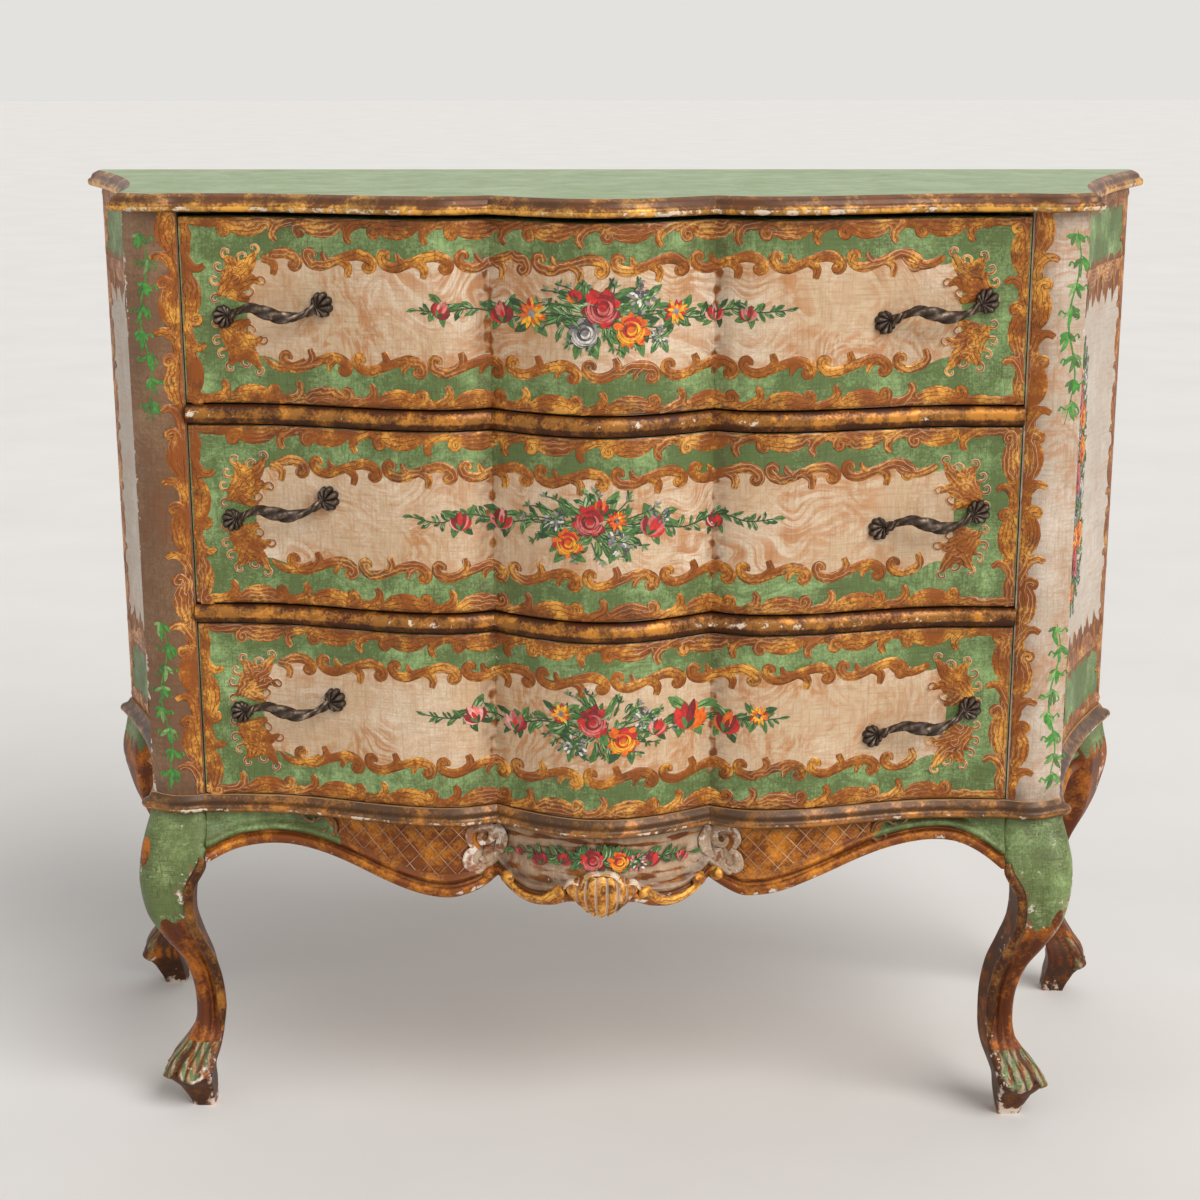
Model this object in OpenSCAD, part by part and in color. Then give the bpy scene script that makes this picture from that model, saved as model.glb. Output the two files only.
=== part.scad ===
// Serpentine commode with three drawers, a moulded top, a carved apron and cabriole legs.
// Millimetres, +Z up, X across the front, -Y towards the viewer.
// The origin is on the floor, under the middle of the overall box.

/* [Case plan] */
// Width of the case over its front corners
case_w = 874; // [780:1:960]
// Depth of the case from the stile line to its back
case_depth = 338; // [300:1:420]
// How far each side flares outwards on its way to the back
side_flare = 93; // [40:1:120]
// Width of each front stile
stile_w = 52; // [44:1:60]
// How far the face of a stile swells forwards
stile_bulge = 9; // [2:0.5:12]
// How far the front corner lies behind the stile line
corner_set = 8; // [4:0.5:14]

/* [Serpentine front] */
// How far the middle bow stands in front of the stile line
bow_depth = 71; // [50:1:80]
// How far each sharp crease stands in front of the stile line
crease_depth = 25; // [14:1:30]
// How far each side swell stands in front of the stile line
lobe_depth = 39; // [32:1:48]
// Distance of the creases from the middle
crease_x = 101; // [80:1:120]
// Distance of the side swells from the middle
lobe_x = 146; // [130:1:170]
// Width of the flat stretch at each end of the drawers
valley_in = 50; // [30:1:80]

/* [Heights] */
// Height of the leg and apron stage
leg_h = 311; // [260:1:360]
// Thickness of the moulded base board
waist_h = 15.5; // [13:0.5:22]
// Height of each drawer opening
opening_h = 171; // [140:1:200]
// Thickness of the rails between the drawers
rail_h = 18; // [14:0.5:24]
// Extra shadow gap between the upper drawer and the top
top_gap = 3.5; // [1:0.5:8]
// Thickness of the top board
top_t = 16; // [14:0.5:24]

/* [Mouldings] */
// How far the moulded edge of the top stands out from the case
top_lip = 13; // [9:0.5:18]
// How far the top stands out behind the back
back_lip = 12; // [6:1:20]
// How far the waist moulding stands out from the case
waist_lip = 12; // [8:0.5:16]
// How far the half-round rails stand out from the drawers
rail_lip = 7; // [3:0.5:10]
// Share of a moulding that is left where it turns from the front ear into the side
notch_share = 0.62; // [0.4:0.01:0.9]

/* [Boards] */
// Thickness of the side panels
side_t = 18; // [14:0.5:24]
// Thickness of the back panel
back_t = 6; // [4:0.5:10]
// Depth of the stiles
stile_d = 37; // [30:1:50]
// Depth of the rails behind the stile line
rail_d = 60; // [48:1:80]
// Side of the square posts in the rear corners
post_size = 32; // [24:1:40]
// Width of the upright battens that carry the runners
batten_w = 40; // [34:1:50]
// Thickness of the upright battens
batten_t = 18; // [12:1:24]

/* [Drawers] */
// Gap round each drawer front
front_gap = 1; // [0.5:0.1:2]
// Thickness of a drawer front at its thinnest place
front_t = 20; // [16:1:26]
// Depth of the stops behind the drawers
stop_depth = 14; // [8:1:30]
// Height of the drawer sides
drawer_side_h = 148; // [110:1:155]
// Thickness of the drawer sides and back
drawer_side_t = 12; // [9:0.5:16]
// Thickness of the drawer bottoms
drawer_floor_t = 5; // [4:0.5:8]
// Height of a drawer bottom above the lower edge of its sides
drawer_floor_up = 8; // [5:0.5:14]
// Depth of the grooves that hold the drawer bottoms
groove_d = 5; // [3:0.5:7]
// Gap between a drawer side and its guide
guide_gap = 1.5; // [0.5:0.1:3]
// Running gap under the drawer sides
run_gap = 0.3; // [0.2:0.1:0.6]
// Width of the guides beside the drawers
guide_w = 14; // [10:1:20]
// Height of the guides above the runners
guide_h = 12; // [8:1:20]
// How far the runners reach under the drawer sides
runner_reach = 20; // [14:1:30]
// Thickness of the runners
runner_t = 16; // [12:1:17]

/* [Handles] */
// Distance of each handle's middle from the edge of its drawer
handle_in = 85; // [60:1:110]
// Distance between the screws of a handle
handle_pitch = 85; // [70:1:96]
// How far the bar of a handle stands off
handle_rise = 22; // [16:1:28]
// How much higher the right end of a straight-fitted handle is
handle_slope = 7.5; // [0:0.5:12]
// How unevenly the handles were fitted by eye, where 0 makes all six alike
handle_uneven = 1; // [0:0.1:1]
// Size of the leaf at each end of a handle
leaf_r = 12.5; // [9:0.5:15]
// Thickness of the leaves
leaf_t = 6; // [4.5:0.5:8]
// Radius of the handle screws
screw_r = 2.2; // [1.5:0.1:3]

/* [Legs and aprons] */
// Width of the block at the top of each leg
block_w = 56; // [48:1:60]
// Forward lean of the front feet
front_lean = 26; // [0:1:30]
// How far the left front leg is turned, as a shift of its back
turn_left = -5; // [-8:1:8]
// How far the right front leg is turned, as a shift of its back
turn_right = 10; // [-12:1:12]
// How far the front apron reaches below the base board
apron_drop = 76; // [60:1:90]
// Thickness of the aprons
apron_t = 20; // [16:1:26]
// How far the aprons lie behind the case above them
apron_set = 2; // [1:0.5:5]
// Width of the bead along the lower edge of the aprons
bead_w = 11; // [7:0.5:14]
// How far that bead stands out
bead_out = 4; // [2:0.5:6]
// Radius of the carved shell
shell_r = 38; // [28:1:44]
// Number of ribs in the shell
shell_ribs = 9; // [5:2:13]
// How far the shell stands out
shell_rise = 11; // [8:0.5:14]

/* [Hidden] */

// Colours of the finishes
top_green = "#9cc29b";
leaf_green = "#6a9762";
cream = "#dccdb2";
gilt = "#ba782d";
umber = "#6e5a46";
pine = "#c79a63";
bronze = "#3c3028";
steel = "#9a9a9a";

seat_gap = 0.3;                                 // small gap beside curved or carved faces
front_plane = (bow_depth + top_lip - case_depth - back_lip) / 2;
back_plane = front_plane + case_depth;
rear_edge = back_plane + back_lip;
opening_w = case_w - 2 * stile_w;
valley_x = opening_w / 2 - valley_in;
handle_x = opening_w / 2 - handle_in;
case_z = leg_h + waist_h;
pitch = opening_h + rail_h;
top_z = case_z + 3 * opening_h + 2 * rail_h + top_gap;
case_h = top_z - case_z;
rear_w = case_w + 2 * side_flare;

// Points along the front between the middle and the edge of the opening
bow_steps = 8;
lobe_steps = 5;
slope_steps = 10;
stile_steps = 5;
ear_steps = 5;
side_steps = 12;
flare_power = 1.8;                              // how late the sides start to flare

function mix(a, b, t) = a + (b - a) * t;
function mirror_x(points) = [for (p = points) [-p.x, p.y]];
function backwards(list) = [for (i = [len(list) - 1:-1:0]) list[i]];

// Plan of the front: how far it stands in front of the stile line (below zero) or behind it
function front_curve(x) = let (a = abs(x))
    a <= crease_x ? -bow_depth + (bow_depth - crease_depth) * (1 - cos(90 * a / crease_x)) :
    a <= lobe_x ? -crease_depth
        - (lobe_depth - crease_depth) * sin(90 * (a - crease_x) / (lobe_x - crease_x)) :
    a <= valley_x ? -lobe_depth * (1 + cos(180 * (a - lobe_x) / (valley_x - lobe_x))) / 2 :
    a <= opening_w / 2 ? 0 :
    let (s = (a - opening_w / 2) / stile_w) corner_set * s - stile_bulge * sin(180 * s);
function front_y(x) = front_plane + front_curve(x);

// Places across the right half of the front, from the middle out to half width w
function front_xs(w) = concat(
    [for (i = [0:bow_steps]) crease_x * i / bow_steps],
    [for (i = [1:lobe_steps]) mix(crease_x, lobe_x, i / lobe_steps)],
    [for (i = [1:slope_steps]) mix(lobe_x, valley_x, i / slope_steps)],
    [w]);
function stile_xs() = [for (i = [1:stile_steps - 1]) opening_w / 2 + stile_w * i / stile_steps];

// The front line from half width -w to w, moved out by d
function front_line(w, d) = let (
    half = [for (x = front_xs(w)) [x, front_y(x) - d]])
    concat(backwards(mirror_x(half)), [for (i = [1:len(half) - 1]) half[i]]);

// Plan of a side: t runs from 0 at the front corner to 1 at the back
side_len = case_depth - corner_set;
front_corner = [case_w / 2, front_plane + corner_set];
rear_corner = [rear_w / 2, back_plane];
function side_pt(t) = [case_w / 2 + side_flare * pow(t, flare_power),
    front_plane + corner_set + side_len * t];
function side_slope(t) = flare_power * side_flare * pow(t, flare_power - 1) / side_len;
function side_out(t) = [1, -side_slope(t)] / norm([1, side_slope(t)]);
function side_t_at(y) = (y - front_corner.y) / side_len;
function inner_side_x(y) = let (t = side_t_at(y))
    side_pt(t).x - side_t * norm([1, side_slope(t)]);
rear_turn = atan(side_slope(1));                // angle of the side at the rear corner

// Right half of an outline round the case at distance d, from the middle to the rear edge
ear_turn = 140;                                 // how far the moulding turns round the front ear
rear_ear_end = 130;
rear_share = 1.3;                               // how much the moulding swells at the rear ears
side_start = 0.05;
function half_outline(d, rear_y) = concat(
    [for (x = concat(front_xs(opening_w / 2), stile_xs())) [x, front_y(x) - d]],
    [for (i = [0:ear_steps]) let (a = ear_turn * i / ear_steps) front_corner + d * [sin(a), -cos(a)]],
    [for (i = [0:side_steps]) let (t = mix(side_start, 1, i / side_steps))
        side_pt(t) + d * mix(notch_share, 1, min(1, 2 * t)) * side_out(t)],
    [for (i = [1:ear_steps]) let (a = mix(90 - rear_turn, rear_ear_end, i / ear_steps))
        rear_corner + d * mix(1, rear_share, i / ear_steps) * [sin(a), -cos(a)]],
    [[rear_corner.x + d / 2, rear_y]]);
// The whole outline, from the left rear round the front to the right rear
function outline(d, rear_y) = let (half = half_outline(d, rear_y))
    concat(backwards(mirror_x([for (i = [1:len(half) - 1]) half[i]])), half);

// A solid through rings that all have the same number of points
module loft(rings) {
    n = len(rings[0]);
    m = len(rings);
    polyhedron(
        points = [for (ring = rings) each ring],
        faces = concat(
            [[for (i = [0:n - 1]) i]],
            [[for (i = [n - 1:-1:0]) (m - 1) * n + i]],
            [for (j = [0:m - 2], i = [0:n - 1], k = [0:1])
                let (a = j * n + i, b = j * n + (i + 1) % n)
                k == 0 ? [a, a + n, b] : [b, a + n, b + n]]),
        convexity = 10);
}

// The top and the base are flat boards with a moulding planted round the front and the sides
flat_out = 2;                                   // how far the flat boards reach beyond the case
base_rear = back_plane + 0.9 * waist_lip;
module flat_board(t, z, rear_y) {
    translate([0, 0, z])
        linear_extrude(t)
            polygon(outline(flat_out, rear_y));
}
// Each row of a profile is [distance out, height], from the top inwards to the bottom
module moulding(profile, t, z, rear_y) {
    rows = concat([[flat_out, 0], [flat_out, t]], profile);
    lines = [for (row = rows) outline(row.x, rear_y)];
    loft([for (i = [0:len(lines[0]) - 1])
        [for (j = [0:len(rows) - 1]) [lines[j][i].x, lines[j][i].y, z + rows[j].y]]]);
}

module top_board() { color(top_green) flat_board(top_t, top_z, rear_edge); }
module top_moulding() {
    color(gilt)
        moulding([
            [0.6 * top_lip, 0.8 * top_t], [top_lip - 3, 0.55 * top_t],
            [top_lip - 0.8, 0.45 * top_t], [top_lip, 0.28 * top_t], [top_lip - 0.8, 0.1 * top_t],
            [0.7 * top_lip, 0]], top_t, top_z, rear_edge);
}
module base_board() { color(pine) flat_board(waist_h, leg_h, base_rear); }
module base_moulding() {
    color(umber)
        moulding([
            [0.4 * waist_lip, 0.7 * waist_h], [waist_lip - 3, 0.55 * waist_h],
            [waist_lip - 1, 0.46 * waist_h], [waist_lip, 0.28 * waist_h],
            [waist_lip - 1, 0.12 * waist_h], [0.7 * waist_lip, 0]], waist_h, leg_h, base_rear);
}

// Front corner stiles: a swelling face on a square back
module stile() {
    outer_y = front_plane + corner_set + stile_d;
    translate([0, 0, case_z])
        linear_extrude(case_h)
            polygon(concat(
                [[opening_w / 2, front_plane]],
                [for (x = stile_xs()) [x, front_y(x)]],
                [front_corner, side_pt(side_t_at(outer_y)), [opening_w / 2, outer_y]]));
}
module stile_right() { color(cream) stile(); }
module stile_left() { color(cream) mirror([1, 0, 0]) stile(); }

// Side panels: boards bent to the flare of the side
module side_panel() {
    start = side_t_at(front_plane + corner_set + stile_d);
    ts = [for (i = [0:side_steps]) mix(start, 1, i / side_steps)];
    translate([0, 0, case_z])
        linear_extrude(case_h)
            polygon(concat([for (t = ts) side_pt(t)],
                backwards([for (t = ts) [inner_side_x(side_pt(t).y), side_pt(t).y]])));
}
module side_right() { color(cream) side_panel(); }
module side_left() { color(cream) mirror([1, 0, 0]) side_panel(); }

back_face = back_plane - back_t;
module back_panel() {
    half = inner_side_x(back_face) - seat_gap;
    color(pine)
        translate([-half, back_face, case_z])
            cube([2 * half, back_t, case_h]);
}

// Square posts that join the sides to the back
module rear_post() {
    outer = inner_side_x(back_face - post_size) - seat_gap;
    translate([outer - post_size, back_face - post_size, case_z])
        cube([post_size, post_size, case_h]);
}
module rear_post_right() { color(pine) rear_post(); }
module rear_post_left() { color(pine) mirror([1, 0, 0]) rear_post(); }

// The drawer box and the strips that it runs on
box_half = opening_w / 2 - front_gap - 2;       // half width over the drawer sides
box_front = front_plane + front_t;              // flat inner face of the drawer fronts
batten_front = back_face - batten_t;
box_back = batten_front - stop_depth;
drawer_len = box_back - box_front;
guide_in = box_half + guide_gap;
guide_out = guide_in + guide_w;
run_in = box_half - runner_reach;

module batten() {
    translate([guide_out - batten_w, batten_front, case_z])
        cube([batten_w, batten_t, case_h]);
}
module batten_right() { color(pine) batten(); }
module batten_left() { color(pine) mirror([1, 0, 0]) batten(); }

// Floor of drawer opening n, where 1 is the upper one
function opening_z(n) = case_z + (3 - n) * pitch;

// An L-shaped runner with its guide, from the back of the rail to the batten
module runner(n) {
    translate([0, batten_front, opening_z(n)])
        rotate([90, 0, 0])
            linear_extrude(batten_front - front_plane - rail_d)
                polygon([[run_in, -runner_t], [guide_out, -runner_t], [guide_out, guide_h],
                    [guide_in, guide_h], [guide_in, 0], [run_in, 0]]);
}
module runner_1_right() { color(pine) runner(1); }
module runner_1_left() { color(pine) mirror([1, 0, 0]) runner(1); }
module runner_2_right() { color(pine) runner(2); }
module runner_2_left() { color(pine) mirror([1, 0, 0]) runner(2); }

// The lower drawer runs on the base board between two plain guides
stile_back = front_plane + corner_set + stile_d;
module guide() {
    translate([guide_in, stile_back, case_z])
        cube([guide_w, batten_front - stile_back, guide_h]);
}
module guide_3_right() { color(pine) guide(); }
module guide_3_left() { color(pine) mirror([1, 0, 0]) guide(); }

// Strips under the top that keep the upper drawer from tipping
kicker_gap = 2.5;
module kicker() {
    low = opening_z(1) + run_gap + drawer_side_h + kicker_gap;
    translate([run_in, stile_back, low])
        cube([guide_out - run_in, batten_front - stile_back, top_z - low]);
}
module kicker_right() { color(pine) kicker(); }
module kicker_left() { color(pine) mirror([1, 0, 0]) kicker(); }

// Small blocks on the battens that stop the closed drawers
stop_h = 30;
stop_up = 20;
module drawer_stops() {
    color(pine)
        for (n = [1:3], side = [-1, 1])
            translate([side > 0 ? run_in : -box_half, box_back + seat_gap, opening_z(n) + stop_up])
                cube([runner_reach, batten_front - box_back - seat_gap, stop_h]);
}

// Rails between the drawers, with a half-round nose that follows the serpentine
nose_steps = 6;
rail_set = 2;                                   // how far the flat of a rail lies behind the fronts
module rail(z) {
    half = opening_w / 2;
    r = rail_h / 2;
    line = front_line(half, 0);
    translate([0, 0, z])
        linear_extrude(rail_h)
            polygon(concat([for (p = line) [p.x, p.y + rail_set]],
                [[half, front_plane + rail_d], [-half, front_plane + rail_d]]));
    loft([for (p = line) concat(
        [for (i = [0:nose_steps]) let (a = 180 * i / nose_steps)
            [p.x, p.y - rail_lip * sin(a), z + r + r * cos(a)]],
        [[p.x, p.y + 2 * rail_set, z], [p.x, p.y + 2 * rail_set, z + rail_h]])]);
}
module rail_upper() { color(gilt) rail(opening_z(1) - rail_h); }
module rail_lower() { color(gilt) rail(opening_z(2) - rail_h); }

// A smooth curve through hand-picked points, with the ends repeated
function spline_at(p, i, t) = let (
    n = len(p), a = p[max(i - 1, 0)], b = p[i], c = p[i + 1], d = p[min(i + 2, n - 1)])
    (2 * b + (c - a) * t + (2 * a - 5 * b + 4 * c - d) * t * t + (3 * b - a - 3 * c + d) * t * t * t) / 2;
function spline(p, steps) = concat(
    [for (i = [0:len(p) - 2], k = [0:steps - 1]) spline_at(p, i, k / steps)], [p[len(p) - 1]]);

// Height of something that is given at a list of [height, value] rows, with smooth steps between
function lookup_smooth(z, rows, i = 0) =
    i >= len(rows) - 2 || z <= rows[i + 1].x
        ? spline_at(rows, i, (z - rows[i].x) / (rows[i + 1].x - rows[i].x)).y
        : lookup_smooth(z, rows, i + 1);

// Lower edge of the front apron. Rows are [share of the way, share of apron_drop]: from the middle
// to a crease, and from there to a leg. The two wings were carved by eye and differ a little
apron_end = case_w / 2 - block_w;
tongue = 16;                                    // how far the aprons reach into the legs before they are cut
edge_mid = [[0, 0.87], [0.3, 0.89], [0.47, 0.97], [0.68, 1], [0.86, 0.91], [1, 0.74]];
edge_left = [[0, 0.74], [0.05, 0.87], [0.11, 0.95], [0.18, 0.985], [0.28, 0.93], [0.39, 0.8],
    [0.5, 0.645], [0.6, 0.53], [0.7, 0.46], [0.79, 0.45], [0.89, 0.49], [0.95, 0.55], [1, 0.625]];
edge_right = [[0, 0.74], [0.04, 0.82], [0.1, 0.91], [0.15, 0.92], [0.25, 0.86], [0.4, 0.665],
    [0.52, 0.5], [0.63, 0.39], [0.75, 0.33], [0.85, 0.355], [0.93, 0.47], [1, 0.63]];
edge_steps = 2;
function apron_edge(wing) = concat(
    [for (p = spline(edge_mid, edge_steps)) [crease_x * p.x, leg_h - apron_drop * p.y]],
    [for (p = spline(wing, edge_steps)) if (p.x > 0)
        [mix(crease_x, apron_end, p.x), leg_h - apron_drop * p.y]],
    [[apron_end + tongue, leg_h - apron_drop * wing[len(wing) - 1].y]]);

// A section through an apron: x and y of its face, outward direction, and its lower edge
bead_round = 0.7;                               // share of the bead's width that stands out fully
function apron_ring(p, out, low) = let (
    face = p - apron_set * out,
    bead = face + bead_out * out,
    back = face - apron_t * out)
    [[back.x, back.y, leg_h], [face.x, face.y, leg_h], [face.x, face.y, low + bead_w],
        [bead.x, bead.y, low + bead_round * bead_w], [bead.x, bead.y, low], [back.x, back.y, low]];

module apron_stock() {
    left = apron_edge(edge_left);
    line = concat([for (i = [len(left) - 1:-1:1]) [-left[i].x, left[i].y]], apron_edge(edge_right));
    loft([for (p = line) apron_ring([p.x, front_y(p.x)], [0, -1], p.y)]);
}
module apron_front() {
    color(gilt)
        difference() {
            apron_stock();
            front_head(turn_right);
            mirror([1, 0, 0]) front_head(turn_left);
        }
}

// Side aprons: the same section along the flare of the side
side_edge = [[0, 0.66], [0.1, 0.53], [0.28, 0.5], [0.5, 0.74], [0.72, 0.5], [0.9, 0.53], [1, 0.66]];
module side_apron(turn) {
    y0 = front_corner.y + block_w - tongue;
    y1 = back_plane - block_w + tongue;
    difference() {
        loft([for (p = spline(side_edge, edge_steps)) let (
            t = side_t_at(mix(y0, y1, p.x)), q = side_pt(t),
            slant = norm([1, side_slope(t)]))
            apron_ring(q, [slant, 0], leg_h - apron_drop * p.y)]);
        front_head(turn);
        rear_head();
    }
}
module apron_right() { color(gilt) side_apron(turn_right); }
module apron_left() { color(gilt) mirror([1, 0, 0]) side_apron(turn_left); }

// Plain board between the rear legs
back_apron_h = 45;
module apron_back() {
    lean = apron_t * tan(rear_turn);
    half = rear_w / 2 - block_w;
    color(pine)
        difference() {
            translate([0, 0, leg_h - back_apron_h])
                linear_extrude(back_apron_h)
                    polygon([[-half, back_plane - 3], [half, back_plane - 3],
                        [half - lean, back_plane - apron_t], [lean - half, back_plane - apron_t]]);
            rear_head();
            mirror([1, 0, 0]) rear_head();
        }
}

// Carved shell under the middle of the front apron: ribs that fan out from a hinge
shell_steps = 4;                                // points across one rib
shell_spread = 84;                              // half the angle of the fan
shell_up = 41;                                  // how far the hinge lies below the base board
shell_sink = 3;                                 // how far its back is sunk before it is cut to the apron
function shell_ring(i) = let (
    n = shell_ribs * shell_steps,
    a = mix(-shell_spread, shell_spread, i / n),
    rib = abs(sin(180 * i / shell_steps)),
    rows = [[0.12, 0.5, 0], [0.4, 0.9, 0.3], [0.7, 1, 0.8], [0.92, 0.8, 1], [1, 0.5, 1]],
    reach = shell_r * (1 + 0.05 * rib),
    outer = [for (row = rows) [row.x * reach, shell_rise * row.y * (1 - 0.22 * row.z * (1 - rib))]],
    profile = concat([[outer[0].x, -shell_sink]], outer, [[outer[4].x, -shell_sink]]))
    [for (p = profile) let (x = p.x * sin(a))
        [x, front_y(x) + apron_set - p.y, leg_h - shell_up - p.x * cos(a)]];
module apron_shell() {
    color(gilt)
        difference() {
            loft([for (i = [0:shell_ribs * shell_steps]) shell_ring(i)]);
            apron_stock();
        }
}

// Cabriole legs. Rows are [height share, how far the outer faces stand out, as a share of block_w]
front_out = [[0, -0.41], [0.07, -0.23], [0.115, -0.05], [0.15, -0.1], [0.195, -0.3], [0.24, -0.48],
    [0.3, -0.54], [0.4, -0.5], [0.49, -0.34], [0.575, -0.07], [0.66, 0.16], [0.765, 0.27],
    [0.84, 0.27], [0.9, 0.21], [1, 0.07]];
rear_out = [[0, -0.45], [0.07, -0.27], [0.115, -0.09], [0.16, -0.1], [0.21, -0.27], [0.27, -0.45],
    [0.35, -0.53], [0.45, -0.53], [0.566, -0.36], [0.685, -0.03], [0.78, 0.15], [0.88, 0.25], [1, 0.14]];
// Rows are [height share, width of the leg as a share of block_w]
front_width = [[0, 0.42], [0.07, 0.62], [0.115, 0.8], [0.15, 0.8], [0.195, 0.68], [0.24, 0.54],
    [0.3, 0.48], [0.4, 0.48], [0.49, 0.55], [0.575, 0.66], [0.66, 0.75], [0.765, 0.89],
    [0.84, 1.2], [0.9, 1.21], [1, 1.07]];
rear_width = [[0, 0.42], [0.07, 0.55], [0.115, 0.68], [0.16, 0.68], [0.21, 0.57], [0.27, 0.48],
    [0.35, 0.46], [0.45, 0.52], [0.566, 0.64], [0.685, 0.79], [0.78, 0.96], [0.88, 1.12], [1, 1.04]];
foot_pad = 6;
leg_rings = 26;
front_step = 0.18 * block_w;                    // how far the front of a leg stands before its side
rear_deep = 0.1;                                // how much less a rear leg curves backwards than sideways
knee = 0.85;                                    // height share above which the legs are not turned
corner_points = 4;
// A square of width w with a rounded outer corner, as [across, along] from its outer faces
// round: share of the width; skew: how far the back is shifted inwards
function leg_square(w, round, skew) = let (
    r = round * w, s = 0.1 * w,
    corner = function (cx, cy, rad, from)
        [for (i = [0:corner_points - 1]) let (a = from + 90 * i / (corner_points - 1))
            [cx + rad * cos(a), cy + rad * sin(a)]])
    [for (p = concat(corner(-r, -r, r, 0), corner(s - w, -s, s, 90),
        corner(s - w, s - w, s, 180), corner(-s, s - w, s, 270))) [p.x + skew * p.y / w, p.y]];
// Sections at height share k. The outer faces of a front leg look outwards and forwards
function front_ring(k, turn) = let (
    out = block_w * lookup_smooth(k, front_out),
    fore = out + front_step + front_lean * (1 - k),
    skew = turn * sin(180 * min(1, k / knee)))
    backwards([for (p = leg_square(block_w * lookup_smooth(k, front_width), 0.36, skew))
        [front_corner.x + out + p.x, front_corner.y - fore - p.y]]);
// The block of a rear leg follows the slant of the side; its foot is square to the floor plan
function rear_ring(k) = let (
    out = block_w * lookup_smooth(k, rear_out),
    slant = rear_turn * min(1, k / knee))
    [for (p = leg_square(block_w * lookup_smooth(k, rear_width), 0.22, 0))
        let (back = rear_deep * out + p.y)
        [rear_corner.x + (out + p.x) / cos(slant) + back * tan(slant), rear_corner.y + back]];
function raised(ring, z) = [for (p = ring) [p.x, p.y, z]];
function ring_share(i) = mix(foot_pad / leg_h, 1, i / leg_rings);
function ring_z(i) = mix(foot_pad, leg_h, i / leg_rings);
module leg(rings) {
    linear_extrude(foot_pad)
        polygon(rings[0]);
    loft([for (i = [0:leg_rings]) raised(rings[i], ring_z(i))]);
}
module front_leg(turn) { leg([for (i = [0:leg_rings]) front_ring(ring_share(i), turn)]); }
module rear_leg() { leg([for (i = [0:leg_rings]) rear_ring(ring_share(i))]); }
// The heads of the legs alone, from which the aprons take their ends
head_from = 0.65 * leg_rings;
module front_head(turn) {
    loft([for (i = [floor(head_from):leg_rings]) raised(front_ring(ring_share(i), turn), ring_z(i))]);
}
module rear_head() {
    loft([for (i = [floor(head_from):leg_rings]) raised(rear_ring(ring_share(i)), ring_z(i))]);
}
module leg_front_right() { color(leaf_green) front_leg(turn_right); }
module leg_front_left() { color(leaf_green) mirror([1, 0, 0]) front_leg(turn_left); }
module leg_rear_right() { color(leaf_green) rear_leg(); }
module leg_rear_left() { color(leaf_green) mirror([1, 0, 0]) rear_leg(); }

// Glue blocks behind the legs, under the base board
glue_block = 36;
rear_block_in = 2.2 * block_w;                  // from the rear edge of a side to the middle of a rear block
module corner_blocks() {
    rear_x = rear_w / 2 - rear_block_in;
    color(pine)
        for (side = [0, 1])
            mirror([side, 0, 0]) {
                translate([apron_end - glue_block - seat_gap, front_plane + apron_set + apron_t + seat_gap,
                        leg_h - glue_block])
                    cube(glue_block);
                translate([rear_x - glue_block / 2, back_plane - apron_t - glue_block, leg_h - glue_block])
                    cube(glue_block);
            }
}

// Drawers. The front is cut from thick stock: serpentine outside and flat inside
front_h = opening_h - 2 * front_gap;
floor_up = drawer_floor_up + run_gap;
function foot_x(side, end) = side * handle_x + end * handle_pitch / 2;
// Left and right handle of each drawer, from the top down: how far it sits above the middle of the
// drawer, and how much higher its right end is
handle_lifts = [[1, 1], [7, -1], [6, -6]];
handle_tilts = [[8, 13], [19, 8.5], [12, 19]];
function handle_mid(n, side) = opening_z(n) + opening_h / 2
    + handle_uneven * handle_lifts[n - 1][(side + 1) / 2];
function handle_tilt(n, side) = mix(handle_slope, handle_tilts[n - 1][(side + 1) / 2], handle_uneven);
function foot_z(n, side, end) = handle_mid(n, side) + end * handle_tilt(n, side) / 2;
module at_screws(n) {
    for (side = [-1, 1], end = [-1, 1])
        translate([foot_x(side, end), 0, foot_z(n, side, end)])
            children();
}
hole_slack = 0.4;                               // gap round a screw
past_face = 10;                                 // how far a cut runs past the face that it opens
module drawer_front(n) {
    half = opening_w / 2 - front_gap;
    difference() {
        translate([0, 0, opening_z(n) + front_gap])
            linear_extrude(front_h)
                polygon(concat(front_line(half, 0), [[half, box_front], [-half, box_front]]));
        drawer_floor(n, groove_slack);
        at_screws(n)
            translate([0, box_front + 1, 0])
                rotate([90, 0, 0])
                    cylinder(r = screw_r + hole_slack, h = front_t + lobe_depth + past_face, $fn = 24);
    }
}
module drawer_side(n) {
    difference() {
        translate([box_half - drawer_side_t, box_front, opening_z(n) + run_gap])
            cube([drawer_side_t, drawer_len, drawer_side_h]);
        drawer_floor(n, groove_slack);
    }
}
// The bottom slides into grooves in the front and the sides, under the back
groove_slack = 0.1;
module drawer_floor(n, slack) {
    half = box_half - drawer_side_t + groove_d + slack;
    translate([-half, box_front - groove_d - slack, opening_z(n) + floor_up - slack])
        cube([2 * half, drawer_len + groove_d + 2 * slack, drawer_floor_t + 2 * slack]);
}
back_under = 6;                                 // how far the back of a drawer stays under its sides
module drawer_back(n) {
    half = box_half - drawer_side_t;
    low = opening_z(n) + floor_up + drawer_floor_t;
    translate([-half, box_back - drawer_side_t, low])
        cube([2 * half, drawer_side_t, opening_z(n) + run_gap + drawer_side_h - low - back_under]);
}

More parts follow.
